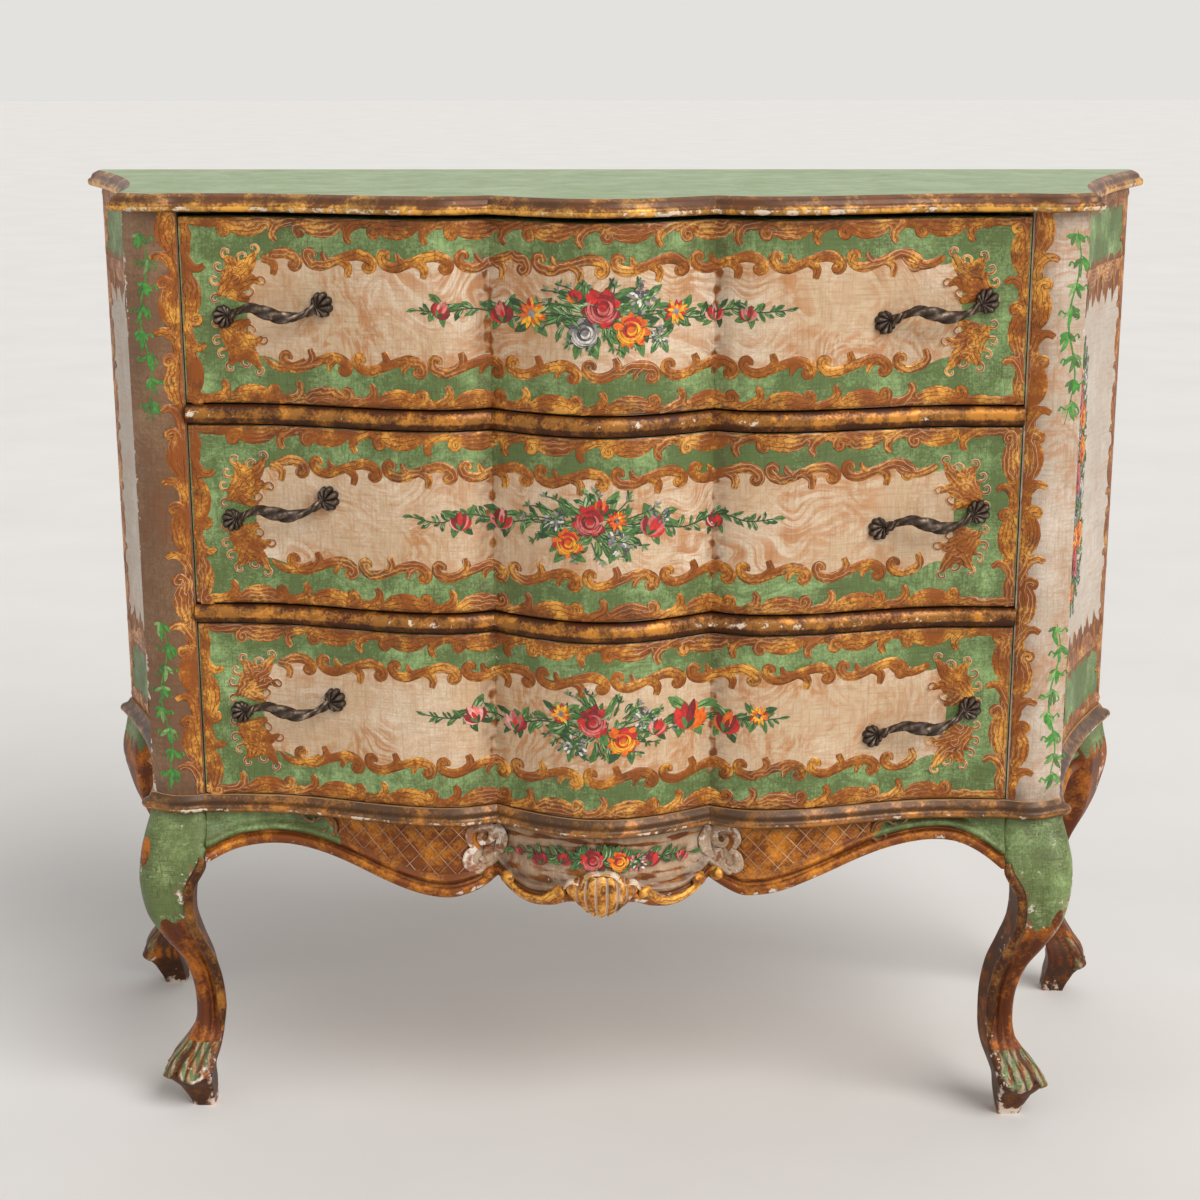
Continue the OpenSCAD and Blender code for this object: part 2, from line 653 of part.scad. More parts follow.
// Cast handles: a twisted bar between two leaves, the same casting on both sides
// Rows are [share of the pitch from the middle, share of the rise, height, bar radius]
bar_rows = [[-0.46, 0.2, -1, 4], [-0.36, 0.5, 3, 4], [-0.24, 0.82, 6, 4.4], [-0.1, 1, 3, 6],
    [0.04, 1, -2, 6.5], [0.2, 0.86, -5.5, 5.2], [0.33, 0.55, -5, 4], [0.46, 0.2, -1, 3.8]];
bar_sides = 8;
bar_twist = 28;
leaf_points = 28;
leaf_skin = 1.5;                                // metal left over the end of a screw hole
leaf_lobes = 7;
module leaf(x, z, grow) {
    slope = atan2(front_y(x + 1) - front_y(x - 1), 2);
    translate([x, front_y(x) - seat_gap, z])
        rotate([90, 0, slope])
            linear_extrude(leaf_t)
                polygon([for (i = [0:leaf_points - 1]) let (
                    a = 360 * i / leaf_points,
                    r = leaf_r * grow * (0.9 + 0.1 * abs(cos(leaf_lobes * a / 2))))
                    [0.95 * r * cos(a), r * sin(a)]]);
}
module handle(n, side) {
    xa = foot_x(side, -1);
    xb = foot_x(side, 1);
    ya = front_y(xa) - seat_gap;
    yb = front_y(xb) - seat_gap;
    zm = handle_mid(n, side);
    rows = spline(bar_rows, 3);
    difference() {
        union() {
            leaf(xa, foot_z(n, side, -1), 0.92);
            leaf(xb, foot_z(n, side, 1), 1);
            loft([for (i = [0:len(rows) - 1]) let (
                row = rows[i], s = row.x + 0.5,
                c = [mix(xa, xb, s), mix(ya, yb, s) - handle_rise * row.y,
                    zm + row.z + handle_tilt(n, side) * row.x])
                [for (k = [0:bar_sides - 1]) let (
                    a = 360 * k / bar_sides, turn = bar_twist * i,
                    r = row[3] * (1 - 0.16 * pow(sin(a + turn), 2)))
                    [c.x, c.y + r * cos(a), c.z + r * sin(a)]]]);
        }
        for (end = [-1, 1]) let (x = foot_x(side, end))
            translate([x, front_y(x), foot_z(n, side, end)])
                rotate([90, 0, 0])
                    cylinder(r = screw_r + hole_slack, h = leaf_t - leaf_skin, $fn = 24);
    }
}
screw_head_r = 5;
screw_head_h = 3;
module screws(n) {
    for (side = [-1, 1], end = [-1, 1]) {
        tip = front_y(foot_x(side, end)) - leaf_t / 2;
        translate([foot_x(side, end), box_front, foot_z(n, side, end)])
            rotate([90, 0, 0])
                cylinder(r = screw_r, h = box_front - tip, $fn = 24);
        translate([foot_x(side, end), box_front + screw_head_h, foot_z(n, side, end)])
            rotate([90, 0, 0])
                cylinder(r = screw_head_r, h = screw_head_h, $fn = 32);
    }
}

module drawer_1_front() { color(leaf_green) drawer_front(1); }
module drawer_1_side_right() { color(pine) drawer_side(1); }
module drawer_1_side_left() { color(pine) mirror([1, 0, 0]) drawer_side(1); }
module drawer_1_back() { color(pine) drawer_back(1); }
module drawer_1_bottom() { color(pine) drawer_floor(1, 0); }
module drawer_1_handle_left() { color(bronze) handle(1, -1); }
module drawer_1_handle_right() { color(bronze) handle(1, 1); }
module drawer_1_screws() { color(steel) screws(1); }
module drawer_2_front() { color(leaf_green) drawer_front(2); }
module drawer_2_side_right() { color(pine) drawer_side(2); }
module drawer_2_side_left() { color(pine) mirror([1, 0, 0]) drawer_side(2); }
module drawer_2_back() { color(pine) drawer_back(2); }
module drawer_2_bottom() { color(pine) drawer_floor(2, 0); }
module drawer_2_handle_left() { color(bronze) handle(2, -1); }
module drawer_2_handle_right() { color(bronze) handle(2, 1); }
module drawer_2_screws() { color(steel) screws(2); }
module drawer_3_front() { color(leaf_green) drawer_front(3); }
module drawer_3_side_right() { color(pine) drawer_side(3); }
module drawer_3_side_left() { color(pine) mirror([1, 0, 0]) drawer_side(3); }
module drawer_3_back() { color(pine) drawer_back(3); }
module drawer_3_bottom() { color(pine) drawer_floor(3, 0); }
module drawer_3_handle_left() { color(bronze) handle(3, -1); }
module drawer_3_handle_right() { color(bronze) handle(3, 1); }
module drawer_3_screws() { color(steel) screws(3); }

top_board();
top_moulding();
base_board();
base_moulding();
stile_left();
stile_right();
side_left();
side_right();
back_panel();
rear_post_left();
rear_post_right();
batten_left();
batten_right();
rail_upper();
rail_lower();
kicker_left();
kicker_right();
runner_1_left();
runner_1_right();
runner_2_left();
runner_2_right();
guide_3_left();
guide_3_right();
drawer_stops();
apron_front();
apron_left();
apron_right();
apron_back();
apron_shell();
corner_blocks();
leg_front_left();
leg_front_right();
leg_rear_left();
leg_rear_right();
drawer_1_front();
drawer_1_side_left();
drawer_1_side_right();
drawer_1_back();
drawer_1_bottom();
drawer_1_handle_left();
drawer_1_handle_right();
drawer_1_screws();
drawer_2_front();
drawer_2_side_left();
drawer_2_side_right();
drawer_2_back();
drawer_2_bottom();
drawer_2_handle_left();
drawer_2_handle_right();
drawer_2_screws();
drawer_3_front();
drawer_3_side_left();
drawer_3_side_right();
drawer_3_back();
drawer_3_bottom();
drawer_3_handle_left();
drawer_3_handle_right();
drawer_3_screws();
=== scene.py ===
"""Looks of the serpentine commode: painted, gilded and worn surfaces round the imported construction.

Lengths are millimetres until a piece is built, and metres in Blender. +Z is up and -Y faces the viewer.
"""

import logging
import math
import random
from collections.abc import Callable, Iterable, Sequence
from dataclasses import dataclass, replace
from enum import Enum

import bmesh
import bpy
import numpy as np
from mathutils import Matrix, Vector


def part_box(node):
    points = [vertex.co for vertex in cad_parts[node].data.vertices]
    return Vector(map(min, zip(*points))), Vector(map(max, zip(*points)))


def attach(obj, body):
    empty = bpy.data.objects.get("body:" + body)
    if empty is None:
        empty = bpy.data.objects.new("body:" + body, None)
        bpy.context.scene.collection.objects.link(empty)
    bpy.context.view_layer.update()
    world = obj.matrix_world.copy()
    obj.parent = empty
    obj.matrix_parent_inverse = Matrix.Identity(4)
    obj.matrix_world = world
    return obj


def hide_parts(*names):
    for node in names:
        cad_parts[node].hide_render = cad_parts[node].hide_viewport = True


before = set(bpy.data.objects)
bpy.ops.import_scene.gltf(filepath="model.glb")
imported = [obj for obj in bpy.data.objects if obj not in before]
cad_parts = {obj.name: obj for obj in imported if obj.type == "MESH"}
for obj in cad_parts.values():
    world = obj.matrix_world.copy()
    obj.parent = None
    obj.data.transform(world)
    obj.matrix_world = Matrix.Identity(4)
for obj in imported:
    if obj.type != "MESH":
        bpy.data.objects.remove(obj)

LOG = logging.getLogger("commode")
MM = 0.001
Colour = tuple[float, float, float, float]
Rows = tuple[tuple[float, ...], ...]


def srgb(red: int, green: int, blue: int) -> Colour:
    """Turns a display colour, 0 to 255 a channel, into the linear colour that shaders take."""
    linear = [((c / 255 + 0.055) / 1.055) ** 2.4 if c > 10 else c / 255 / 12.92 for c in (red, green, blue)]
    return (linear[0], linear[1], linear[2], 1.0)


def cubic(a: np.ndarray, b: np.ndarray, c: np.ndarray, d: np.ndarray, t: np.ndarray) -> np.ndarray:
    """The smooth curve from b to c at shares t of the way, between the neighbours a and d."""
    return (2 * b + (c - a) * t + (2 * a - 5 * b + 4 * c - d) * t**2 + (3 * b - a - 3 * c + d) * t**3) / 2


def spline(points: Sequence[Sequence[float]], steps: int) -> np.ndarray:
    """Runs a smooth curve through given points, with the ends repeated.

    Args:
        points: The points, in any number of dimensions.
        steps: Samples for each span.

    Returns:
        The samples, one row each, ending on the last point.
    """
    p = np.asarray(points, float)
    p = np.vstack([p[:1], p, p[-1:]])
    t = np.linspace(0, 1, steps, endpoint=False)[:, None]
    return np.vstack([*(cubic(a, b, c, d, t) for a, b, c, d in zip(p, p[1:], p[2:], p[3:])), p[-1:]])


def smooth_rows(at: np.ndarray, rows: Rows) -> np.ndarray:
    """Looks values up in rows of (place, value), with smooth steps between the rows.

    Args:
        at: The places to look up.
        rows: Rows in rising order of place.

    Returns:
        One value for each place.
    """
    p = np.asarray(rows, float)
    last = len(p) - 1
    i = np.clip(np.searchsorted(p[:, 0], at, side="right") - 1, 0, last - 1)
    t = (at - p[i, 0]) / (p[i + 1, 0] - p[i, 0])
    return cubic(p[np.maximum(i - 1, 0), 1], p[i, 1], p[i + 1, 1], p[np.minimum(i + 2, last), 1], t)


def bump(at: np.ndarray, middle: float, reach: float) -> np.ndarray:
    """A soft hill of height 1 at middle, which fades out over about reach."""
    return np.exp(-(((at - middle) / reach) ** 2))


def unit(value: np.ndarray) -> np.ndarray:
    """Holds values between 0 and 1."""
    return np.clip(value, 0, 1)


def window(at: np.ndarray, low: float, high: np.ndarray | float, soft_low: float, soft_high: float) -> np.ndarray:
    """Close to 1 between low and high and to 0 outside, with soft ends."""
    return 1 / (1 + np.exp(-(at - low) / soft_low)) / (1 + np.exp((at - high) / soft_high))


def sheet(x: np.ndarray, y: np.ndarray, z: np.ndarray) -> np.ndarray:
    """Points from x, y and z, each of which is spread over the rows and columns that it lacks."""
    return np.stack(np.broadcast_arrays(x, y, z), -1)


def circle(count: int) -> np.ndarray:
    """Angles all the way round."""
    return np.linspace(0, 2 * math.pi, count, endpoint=False)


def around(x: float, z: float, far: float, turn: float) -> tuple[float, float]:
    """The place that lies far from another, in a direction in degrees."""
    return x + far * math.cos(math.radians(turn)), z + far * math.sin(math.radians(turn))


class Body(Enum):
    """The bodies of the construction that pieces ride on."""

    CARCASS = "carcass"
    DRAWER_1 = "drawer_1"
    DRAWER_2 = "drawer_2"
    DRAWER_3 = "drawer_3"


class Slot(Enum):
    """The record's material slots."""

    TOP = "painted_top"
    GILDING = "gilding"
    CASE = "painted_case"
    DRAWERS = "painted_drawers"
    APRON = "painted_apron"
    LEGS = "painted_legs"
    HANDLE = "handle_metal"


def node_box(node: str) -> tuple[Vector, Vector]:
    """The lowest and highest corner of a node of the construction, in millimetres."""
    low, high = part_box(node)
    return low / MM, high / MM


def place_in_scene(name: str, data: bpy.types.ID) -> bpy.types.Object:
    """Makes an object of a mesh, a lamp or a camera.

    Args:
        name: Name of the object.
        data: The mesh, lamp or camera.

    Returns:
        The object, linked to the scene.
    """
    made = bpy.data.objects.new(name, data)
    bpy.context.scene.collection.objects.link(made)
    return made


@dataclass(frozen=True)
class FrontPlan:
    """Plan of the serpentine front, with the driving sizes of the construction."""

    plane: float = -133.0
    half_opening: float = 385.0
    stile_w: float = 52.0
    stile_bulge: float = 9.0
    corner_set: float = 8.0
    bow_depth: float = 71.0
    crease_depth: float = 25.0
    lobe_depth: float = 39.0
    crease_x: float = 101.0
    lobe_x: float = 146.0
    valley_x: float = 335.0

    @property
    def corner_x(self) -> float:
        """Half width of the case over its front corners."""
        return self.half_opening + self.stile_w

    def curve(self, x: np.ndarray) -> np.ndarray:
        """How far the front lies behind the stile line (below zero: in front of it) at x.

        Args:
            x: Places across the front.

        Returns:
            The depth at each place.
        """
        a = np.abs(np.asarray(x, float))
        bow = -self.bow_depth + (self.bow_depth - self.crease_depth) * (1 - np.cos(np.pi / 2 * a / self.crease_x))
        rise = (a - self.crease_x) / (self.lobe_x - self.crease_x)
        lobe = -self.crease_depth - (self.lobe_depth - self.crease_depth) * np.sin(np.pi / 2 * rise)
        fall = (a - self.lobe_x) / (self.valley_x - self.lobe_x)
        slope = -self.lobe_depth * (1 + np.cos(np.pi * fall)) / 2
        s = (a - self.half_opening) / self.stile_w
        stile = self.corner_set * s - self.stile_bulge * np.sin(np.pi * s)
        return np.select(
            [a <= self.crease_x, a <= self.lobe_x, a <= self.valley_x, a <= self.half_opening],
            [bow, lobe, slope, np.zeros_like(a)],
            stile,
        )

    def y(self, x: np.ndarray) -> np.ndarray:
        """The front line at x."""
        return self.plane + self.curve(x)

    def places(self, half: float, step: float) -> np.ndarray:
        """Places across the front from -half to half, about step apart, with one on each crease.

        Args:
            half: Where the last place is.
            step: Distance between two places.

        Returns:
            The places in order.
        """
        marks = [0.0, self.crease_x, self.lobe_x, self.valley_x, self.half_opening, self.corner_x]
        marks = [m for m in marks if m < half - step / 2] + [half]
        right = np.concatenate([np.linspace(a, b, max(2, round((b - a) / step)), endpoint=False)
                                for a, b in zip(marks, marks[1:])] + [[half]])
        return np.concatenate([-right[:0:-1], right])


@dataclass(frozen=True)
class SidePlan:
    """Plan of a flaring side, from the front corner (t = 0) to the back (t = 1)."""

    front: FrontPlan = FrontPlan()
    flare: float = 93.0
    length: float = 330.0
    power: float = 1.8

    @property
    def back(self) -> float:
        """The back plane of the case."""
        return self.front.plane + self.front.corner_set + self.length

    def point(self, t: np.ndarray) -> np.ndarray:
        """The side line at t, as x and y.

        Args:
            t: Shares of the side, from the front to the rear.

        Returns:
            An array of places.
        """
        t = np.asarray(t, float)
        return np.stack([self.front.corner_x + self.flare * t**self.power,
                         self.front.plane + self.front.corner_set + self.length * t], -1)

    def slope(self, t: np.ndarray) -> np.ndarray:
        """How fast the side moves outwards at t."""
        return self.power * self.flare * np.asarray(t, float) ** (self.power - 1) / self.length

    def out(self, t: np.ndarray) -> np.ndarray:
        """The outward direction at t."""
        slope = self.slope(t)
        return np.stack([np.ones_like(slope), -slope], -1) / np.sqrt(1 + slope**2)[..., None]

    def outline(self, distance: float, rear_y: float) -> np.ndarray:
        """The outline round the case at a distance, from the left rear round the front to the right rear.

        Args:
            distance: How far it lies outside the case.
            rear_y: Where it ends at the back.

        Returns:
            The points, as x and y.
        """
        front, corner, notch, swell = self.front, self.point(0.0), 0.62, 1.3
        across = front.places(front.corner_x, 6)
        across = across[(across >= 0) & (across < front.corner_x - 1)]
        a = np.linspace(0, math.radians(140), 14)
        t = np.linspace(0.05, 1, 40)
        b = np.linspace(math.pi / 2 - math.atan(float(self.slope(1.0))), math.radians(130), 10)[1:]
        share = np.minimum(1, 2 * t)[:, None] * (1 - notch) + notch
        grow = np.linspace(1, swell, 10)[1:, None]
        turn = np.stack([np.sin(a), -np.cos(a)], -1)
        rear = np.stack([np.sin(b), -np.cos(b)], -1)
        half = np.vstack([
            np.stack([across, front.y(across) - distance], -1),
            corner + distance * turn,
            self.point(t) + distance * share * self.out(t),
            self.point(1.0) + distance * grow * rear,
            [[self.point(1.0)[0] + distance / 2, rear_y]],
        ])
        return np.vstack([half[:0:-1] * [-1, 1], half])


class Skin:
    """A painted surface: it puts flat places, and heights above them, into space."""

    handed: int = 1

    def place(self, u: np.ndarray, v: np.ndarray, lift: np.ndarray) -> np.ndarray:
        """The points at u along and v up the surface, lift above it."""
        raise NotImplementedError


@dataclass(frozen=True)
class FrontSkin(Skin):
    """The serpentine front, where u is x and v is z."""

    plan: FrontPlan
    set_back: float = 0.0

    def place(self, u: np.ndarray, v: np.ndarray, lift: np.ndarray) -> np.ndarray:
        """The points at u along and v up the front, lift in front of it."""
        return sheet(u, self.plan.y(u) + self.set_back - lift, v)


class SideSkin(Skin):
    """A side of the case, where u runs from the front corner to the back and v is z."""

    def __init__(self, plan: SidePlan, side: int, set_back: float = 0.0) -> None:
        """Keeps the plan and the side, 1 for the right and -1 for the left."""
        self.plan, self.side, self.set_back, self.handed = plan, side, set_back, side

    def place(self, u: np.ndarray, v: np.ndarray, lift: np.ndarray) -> np.ndarray:
        """The points at u along and v up the side, lift outside it.

        Args:
            u: Places along the side.
            v: Heights.
            lift: Distances outside the surface.

        Returns:
            An array of points.
        """
        t = np.clip(u / self.plan.length, 0.0, 1.05)
        spot = self.plan.point(t) + (lift - self.set_back)[..., None] * self.plan.out(t)
        return sheet(self.side * spot[..., 0], spot[..., 1], v)


class Piece:
    """Gathers the mesh of one piece, with the paint values of its points, and makes the object."""

    def __init__(self, name: str) -> None:
        """Starts an empty piece of that name.

        Args:
            name: Name of the object that it becomes.
        """
        self.name, self.count = name, 0
        self.points: list[np.ndarray] = []
        self.faces: list[list[int]] = []
        self.finish_of: list[int] = []
        self.values: list[tuple[int, dict[str, np.ndarray]]] = []

    def grid(self, points: np.ndarray, flip: bool = False, finish: int = 0, **values: np.ndarray | float) -> None:
        """Adds a tube of closed rings with a face at each end.

        Args:
            points: Rings of points, as an array of rings, points and three numbers.
            flip: Whether the faces look the other way.
            finish: Number of the material in the piece's list.
            values: Paint values with a number or a colour for each point, or one number for all.
        """
        rows, columns = points.shape[:2]
        i, j = np.meshgrid(np.arange(rows - 1), np.arange(columns), indexing="ij")
        a, b = i * columns + j, i * columns + (j + 1) % columns
        quads = np.stack([a, a + columns, b + columns, b], -1).reshape(-1, 4)
        first, last = list(range(columns)), list(range((rows - 1) * columns, rows * columns))
        faces = (quads[:, ::-1] if flip else quads).tolist() + ([first[::-1], last] if flip else [first, last[::-1]])
        self.points.append(np.asarray(points, float).reshape(-1, 3))
        self.faces += [[n + self.count for n in face] for face in faces]
        self.finish_of += [finish] * len(faces)
        self.values.append((rows * columns, {
            k: np.broadcast_to(v, (rows, columns, *np.shape(v)[2:])).reshape(rows * columns, *np.shape(v)[2:])
            for k, v in values.items()}))
        self.count += rows * columns

    def build(self, slot: Slot, finishes: Sequence[bpy.types.Material], replaces: str = "", body: Body = Body.CARCASS,
              closed: bool = False, crease: float = 35.0) -> None:
        """Makes the object and puts it on its body.

        Args:
            slot: The record's slot; not used.
            finishes: The materials, in the order of the finish numbers.
            replaces: Node of the construction that it stands for.
            body: The body it rides on.
            closed: Whether it is one closed solid, as a piece that stands for a node is: its faces are turned outwards.
            crease: Angle in degrees above which an edge stays sharp.
        """
        mesh = bpy.data.meshes.new(self.name)
        mesh.from_pydata((np.vstack(self.points) * MM).tolist(), [], self.faces)
        for material in finishes:
            mesh.materials.append(material)
        mesh.polygons.foreach_set("material_index", self.finish_of)
        for name in sorted({k for _, values in self.values for k in values}):
            wide = any(np.ndim(v.get(name, 0)) == 2 for _, v in self.values)
            parts = [np.broadcast_to(v.get(name, 0.0), (n, 4) if wide else (n,)) for n, v in self.values]
            kind, key = ("FLOAT_COLOR", "color") if wide else ("FLOAT", "value")
            flat = np.concatenate(parts).astype(np.float32).ravel()
            mesh.attributes.new(name, kind, "POINT").data.foreach_set(key, flat)
        if closed or replaces:
            solid = bmesh.new()
            solid.from_mesh(mesh)
            bmesh.ops.recalc_face_normals(solid, faces=solid.faces)
            solid.to_mesh(mesh)
            solid.free()
        mesh.shade_smooth()
        mesh.set_sharp_from_angle(angle=math.radians(crease))
        piece = place_in_scene(self.name, mesh)
        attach(piece, body.value)
        if replaces:
            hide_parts(replaces)
        LOG.info("%s: %d faces on %s", self.name, len(mesh.polygons), body.value)


@dataclass(frozen=True)
class Spot:
    """Where a motif lies on a surface: its own along and inward directions, in the surface's u and v."""

    u: float
    v: float
    along: tuple[float, float] = (1.0, 0.0)
    inward: tuple[float, float] = (0.0, -1.0)

    def place(self, points: np.ndarray) -> np.ndarray:
        """Turns motif points into places on the surface."""
        along, inward = np.array(self.along), np.array(self.inward)
        return np.array([self.u, self.v]) + points[:, :1] * along + points[:, 1:2] * inward


@dataclass(frozen=True)
class Stroke:
    """One stroke of a motif: points of its spine, its half widths and its height."""

    spine: Rows
    widths: tuple[float, ...]
    height: float = 0.8
    pale: float = 0.0

    def path(self, steps: int = 4) -> tuple[np.ndarray, np.ndarray]:
        """The smooth spine and the half width at each of its points."""
        return smooth_path(self.spine, self.widths, steps)


def smooth_path(spine: Sequence[Sequence[float]], widths: Sequence[float], steps: int) -> tuple[np.ndarray, np.ndarray]:
    """A smooth line through points, with the half width at each of its samples."""
    path = spline(spine, steps)
    return path, np.interp(np.linspace(0, 1, len(path)), np.linspace(0, 1, len(widths)), widths)


class Brush:
    """Lays strokes on a surface as low, rounded, closed ribbons."""

    across = np.array([-1.0, -0.74, 0.0, 0.74, 1.0])
    dome = np.array([0.0, 0.78, 1.0, 0.78, 0.0])
    sunk = 0.3
    taper = 0.5
    near = 14.0

    def __init__(self, piece: Piece, skin: Skin, seed: int) -> None:
        """Takes the piece that the strokes go into, the surface that they lie on and a seed."""
        self.piece, self.skin, self.dice = piece, skin, random.Random(seed)
        self.waiting: list[tuple[np.ndarray, np.ndarray, float, int, dict]] | None = None

    def gather(self) -> None:
        """Holds the strokes back from here on, until join lays them."""
        self.waiting = []

    def join(self) -> None:
        """Lays the strokes held back so that those that touch share one outline."""
        strokes, self.waiting = self.waiting, None
        at = np.vstack([spine for spine, *_ in strokes])
        half = np.concatenate([np.broadcast_to(wide, len(spine)) for spine, wide, *_ in strokes])
        owner = np.repeat(np.arange(len(strokes)), [len(spine) for spine, *_ in strokes])
        for number, (spine, wide, height, finish, values) in enumerate(strokes):
            box = (at > spine.min(0) - self.near) & (at < spine.max(0) + self.near)
            beside = (owner != number) & box.all(axis=1)
            self.lay(spine, wide, height, finish, (at[beside], half[beside]), **values)

    def lay(self, spine: np.ndarray, half: np.ndarray, height: float, finish: int = 0,
            beside: tuple[np.ndarray, np.ndarray] | None = None, **values: np.ndarray | float) -> None:
        """Lays one stroke.

        Args:
            spine: Places of its middle line on the surface.
            half: Half width at each of them.
            height: Height in the middle.
            finish: Number of the material in the piece's list.
            beside: Places and half widths of the strokes that it runs into.
            values: Paint values for the whole stroke.
        """
        if self.waiting is not None:
            self.waiting.append((spine, half, height, finish, values))
            return
        way = np.gradient(spine, axis=0)
        way /= np.maximum(np.linalg.norm(way, axis=1, keepdims=True), 1e-9)
        side = np.stack([-way[:, 1], way[:, 0]], -1)
        half = np.maximum(half, 0.05)
        flat = spine[:, None] + side[:, None] * half[:, None, None] * self.across[None, :, None]
        rise = height * np.minimum(1, half / max(half.max() * self.taper, 0.2))
        lift = rise[:, None] * self.dome - self.sunk * (self.dome == 0)
        edge = half[:, None] * (1 - np.abs(self.across))
        if beside is not None and len(beside[0]):
            gap = np.linalg.norm(flat[:, :, None] - beside[0], axis=-1)
            edge = np.maximum(edge, (beside[1] - gap).max(axis=-1))
        wide = {k: np.broadcast_to(np.asarray(v, float), (*edge.shape, 4) if np.size(v) == 4 else edge.shape)
                for k, v in {"tone": self.dice.random(), **values}.items()}
        self.piece.grid(self.skin.place(flat[..., 0], flat[..., 1], lift), self.skin.handed < 0, finish, edge=edge,
                        vein=half[:, None] * self.across, **wide)

    def ball(self, u: float, v: float, radius: float, height: float, finish: int = 0, **values: float) -> None:
        """Lays a round bead.

        Args:
            u: Its place along the surface.
            v: Its place up the surface.
            radius: Its radius.
            height: Its height.
            finish: Number of the material in the piece's list.
            values: Paint values for the whole bead.
        """
        a, b = circle(18), np.linspace(0.08, math.pi / 2, 6)[:, None]
        out = radius * np.sin(b)
        lift = height * np.cos(b) - self.sunk * (b == b[-1]) + 0 * a
        self.piece.grid(self.skin.place(u + out * np.cos(a), v + out * np.sin(a), lift), self.skin.handed > 0, finish,
                        **{"edge": 50.0, "vein": 0.0, "tone": 0.6, **values})

    def stroke(self, stroke: Stroke, spot: Spot, finish: int = 0, **values: float) -> None:
        """Lays a motif's stroke at a spot."""
        spine, half = stroke.path()
        self.lay(spot.place(spine), half, stroke.height, finish, pale=stroke.pale, **values)

    def motif(self, strokes: Iterable[Stroke], spot: Spot, **values: float) -> None:
        """Lays all strokes of a motif at a spot, each a little higher than the last.

        Args:
            strokes: The strokes, lowest first.
            spot: Where the motif lies.
            values: Paint values of all its strokes.
        """
        tone = self.dice.uniform(0.3, 0.7)
        for number, stroke in enumerate(strokes):
            self.stroke(replace(stroke, height=stroke.height + 0.03 * number), spot, tone=tone, **values)


UNIT = 70.0
LOBE = Stroke(((-5, 4), (1, 7.5), (8, 9.4), (17, 10), (27, 8.8), (37, 4)), (3.5, 6.2, 8.4, 9.2, 7.4, 2.6), 0.55)
BALL = Stroke(((5, 7), (-1, 5.5), (-7, 7.5), (-8.6, 12), (-6, 15.5), (-2.2, 14.5), (-2.4, 11), (-4.6, 10.8)),
              (3, 4, 4, 3.7, 3.3, 3.0, 2.7, 2.4), 0.6)
HOOK = Stroke(((60, 2.5), (52, 4.5), (44.5, 7.5), (40, 12), (39.6, 17), (42.4, 21.5)),
              (2.6, 4, 4.8, 4.6, 4.0, 2.8), 0.55)
THORN = Stroke(((34, 5), (37, 8.5), (36.5, 12)), (2.6, 2.2, 1.1), 0.5)
OUTER = (LOBE, THORN, HOOK, BALL)
COIL = ((7.4, 34.6), (7.4, 31), (4, 29.2), (0.8, 31.6), (1.2, 36.6))
SWEEP = ((6, 41), (14.5, 42.4), (24, 39.4), (34, 35.6))
CREST = ((43, 32.8), (50, 31.8), (57, 33.6), (62.2, 37.6), (62.8, 42.6), (59, 45.2), (56, 42.6), (58, 40))
COIL_WIDTHS, SWEEP_WIDTHS = (2.8, 3.2, 3.6, 4.2, 4.8), (5.2, 5.4, 5.0, 4.7)
CREST_WIDTHS = (5.2, 5.8, 5.6, 5.0, 4.4, 3.9, 3.5, 3.2)
VINE = Stroke(COIL + SWEEP + CREST, COIL_WIDTHS + SWEEP_WIDTHS + CREST_WIDTHS, 0.6)
VINE_END = Stroke(SWEEP[3:] + CREST, (2.5, *CREST_WIDTHS), 0.6)
VINE_START = Stroke(COIL + SWEEP[:3], (*COIL_WIDTHS, 4.6, 3.6, 1.6), 0.6)
DROP = (
    Stroke(((29, 37), (36.5, 39), (40.4, 44), (39, 51.5)), (4, 4.8, 4.4, 3.0), 0.55),
    Stroke(((23, 40), (17.5, 35.5), (15.6, 29.5)), (4, 3.6, 1.6), 0.5),
)
SPROUT = (
    Stroke(((16, 42), (25, 38), (29, 32.5), (26.6, 24.5)), (4, 4.8, 4.4, 3.0), 0.55),
    Stroke(((53, 32), (46, 37.5), (44, 44)), (4, 3.6, 1.6), 0.5),
)
BODY = (
    Stroke(((36, 14), (43, 22), (48, 31), (48, 39), (42, 49)), (4, 10, 12, 9.5, 2), 0.55),
    Stroke(((48, 30), (56, 36), (63, 42), (70, 53)), (11, 10, 7, 2), 0.6),
    Stroke(((50, 22), (58, 26), (66, 28), (73, 24)), (10, 8, 4.6, 1.6), 0.6),
    Stroke(((46, 17), (54, 13), (62, 9)), (8, 6, 2.4), 0.6),
)
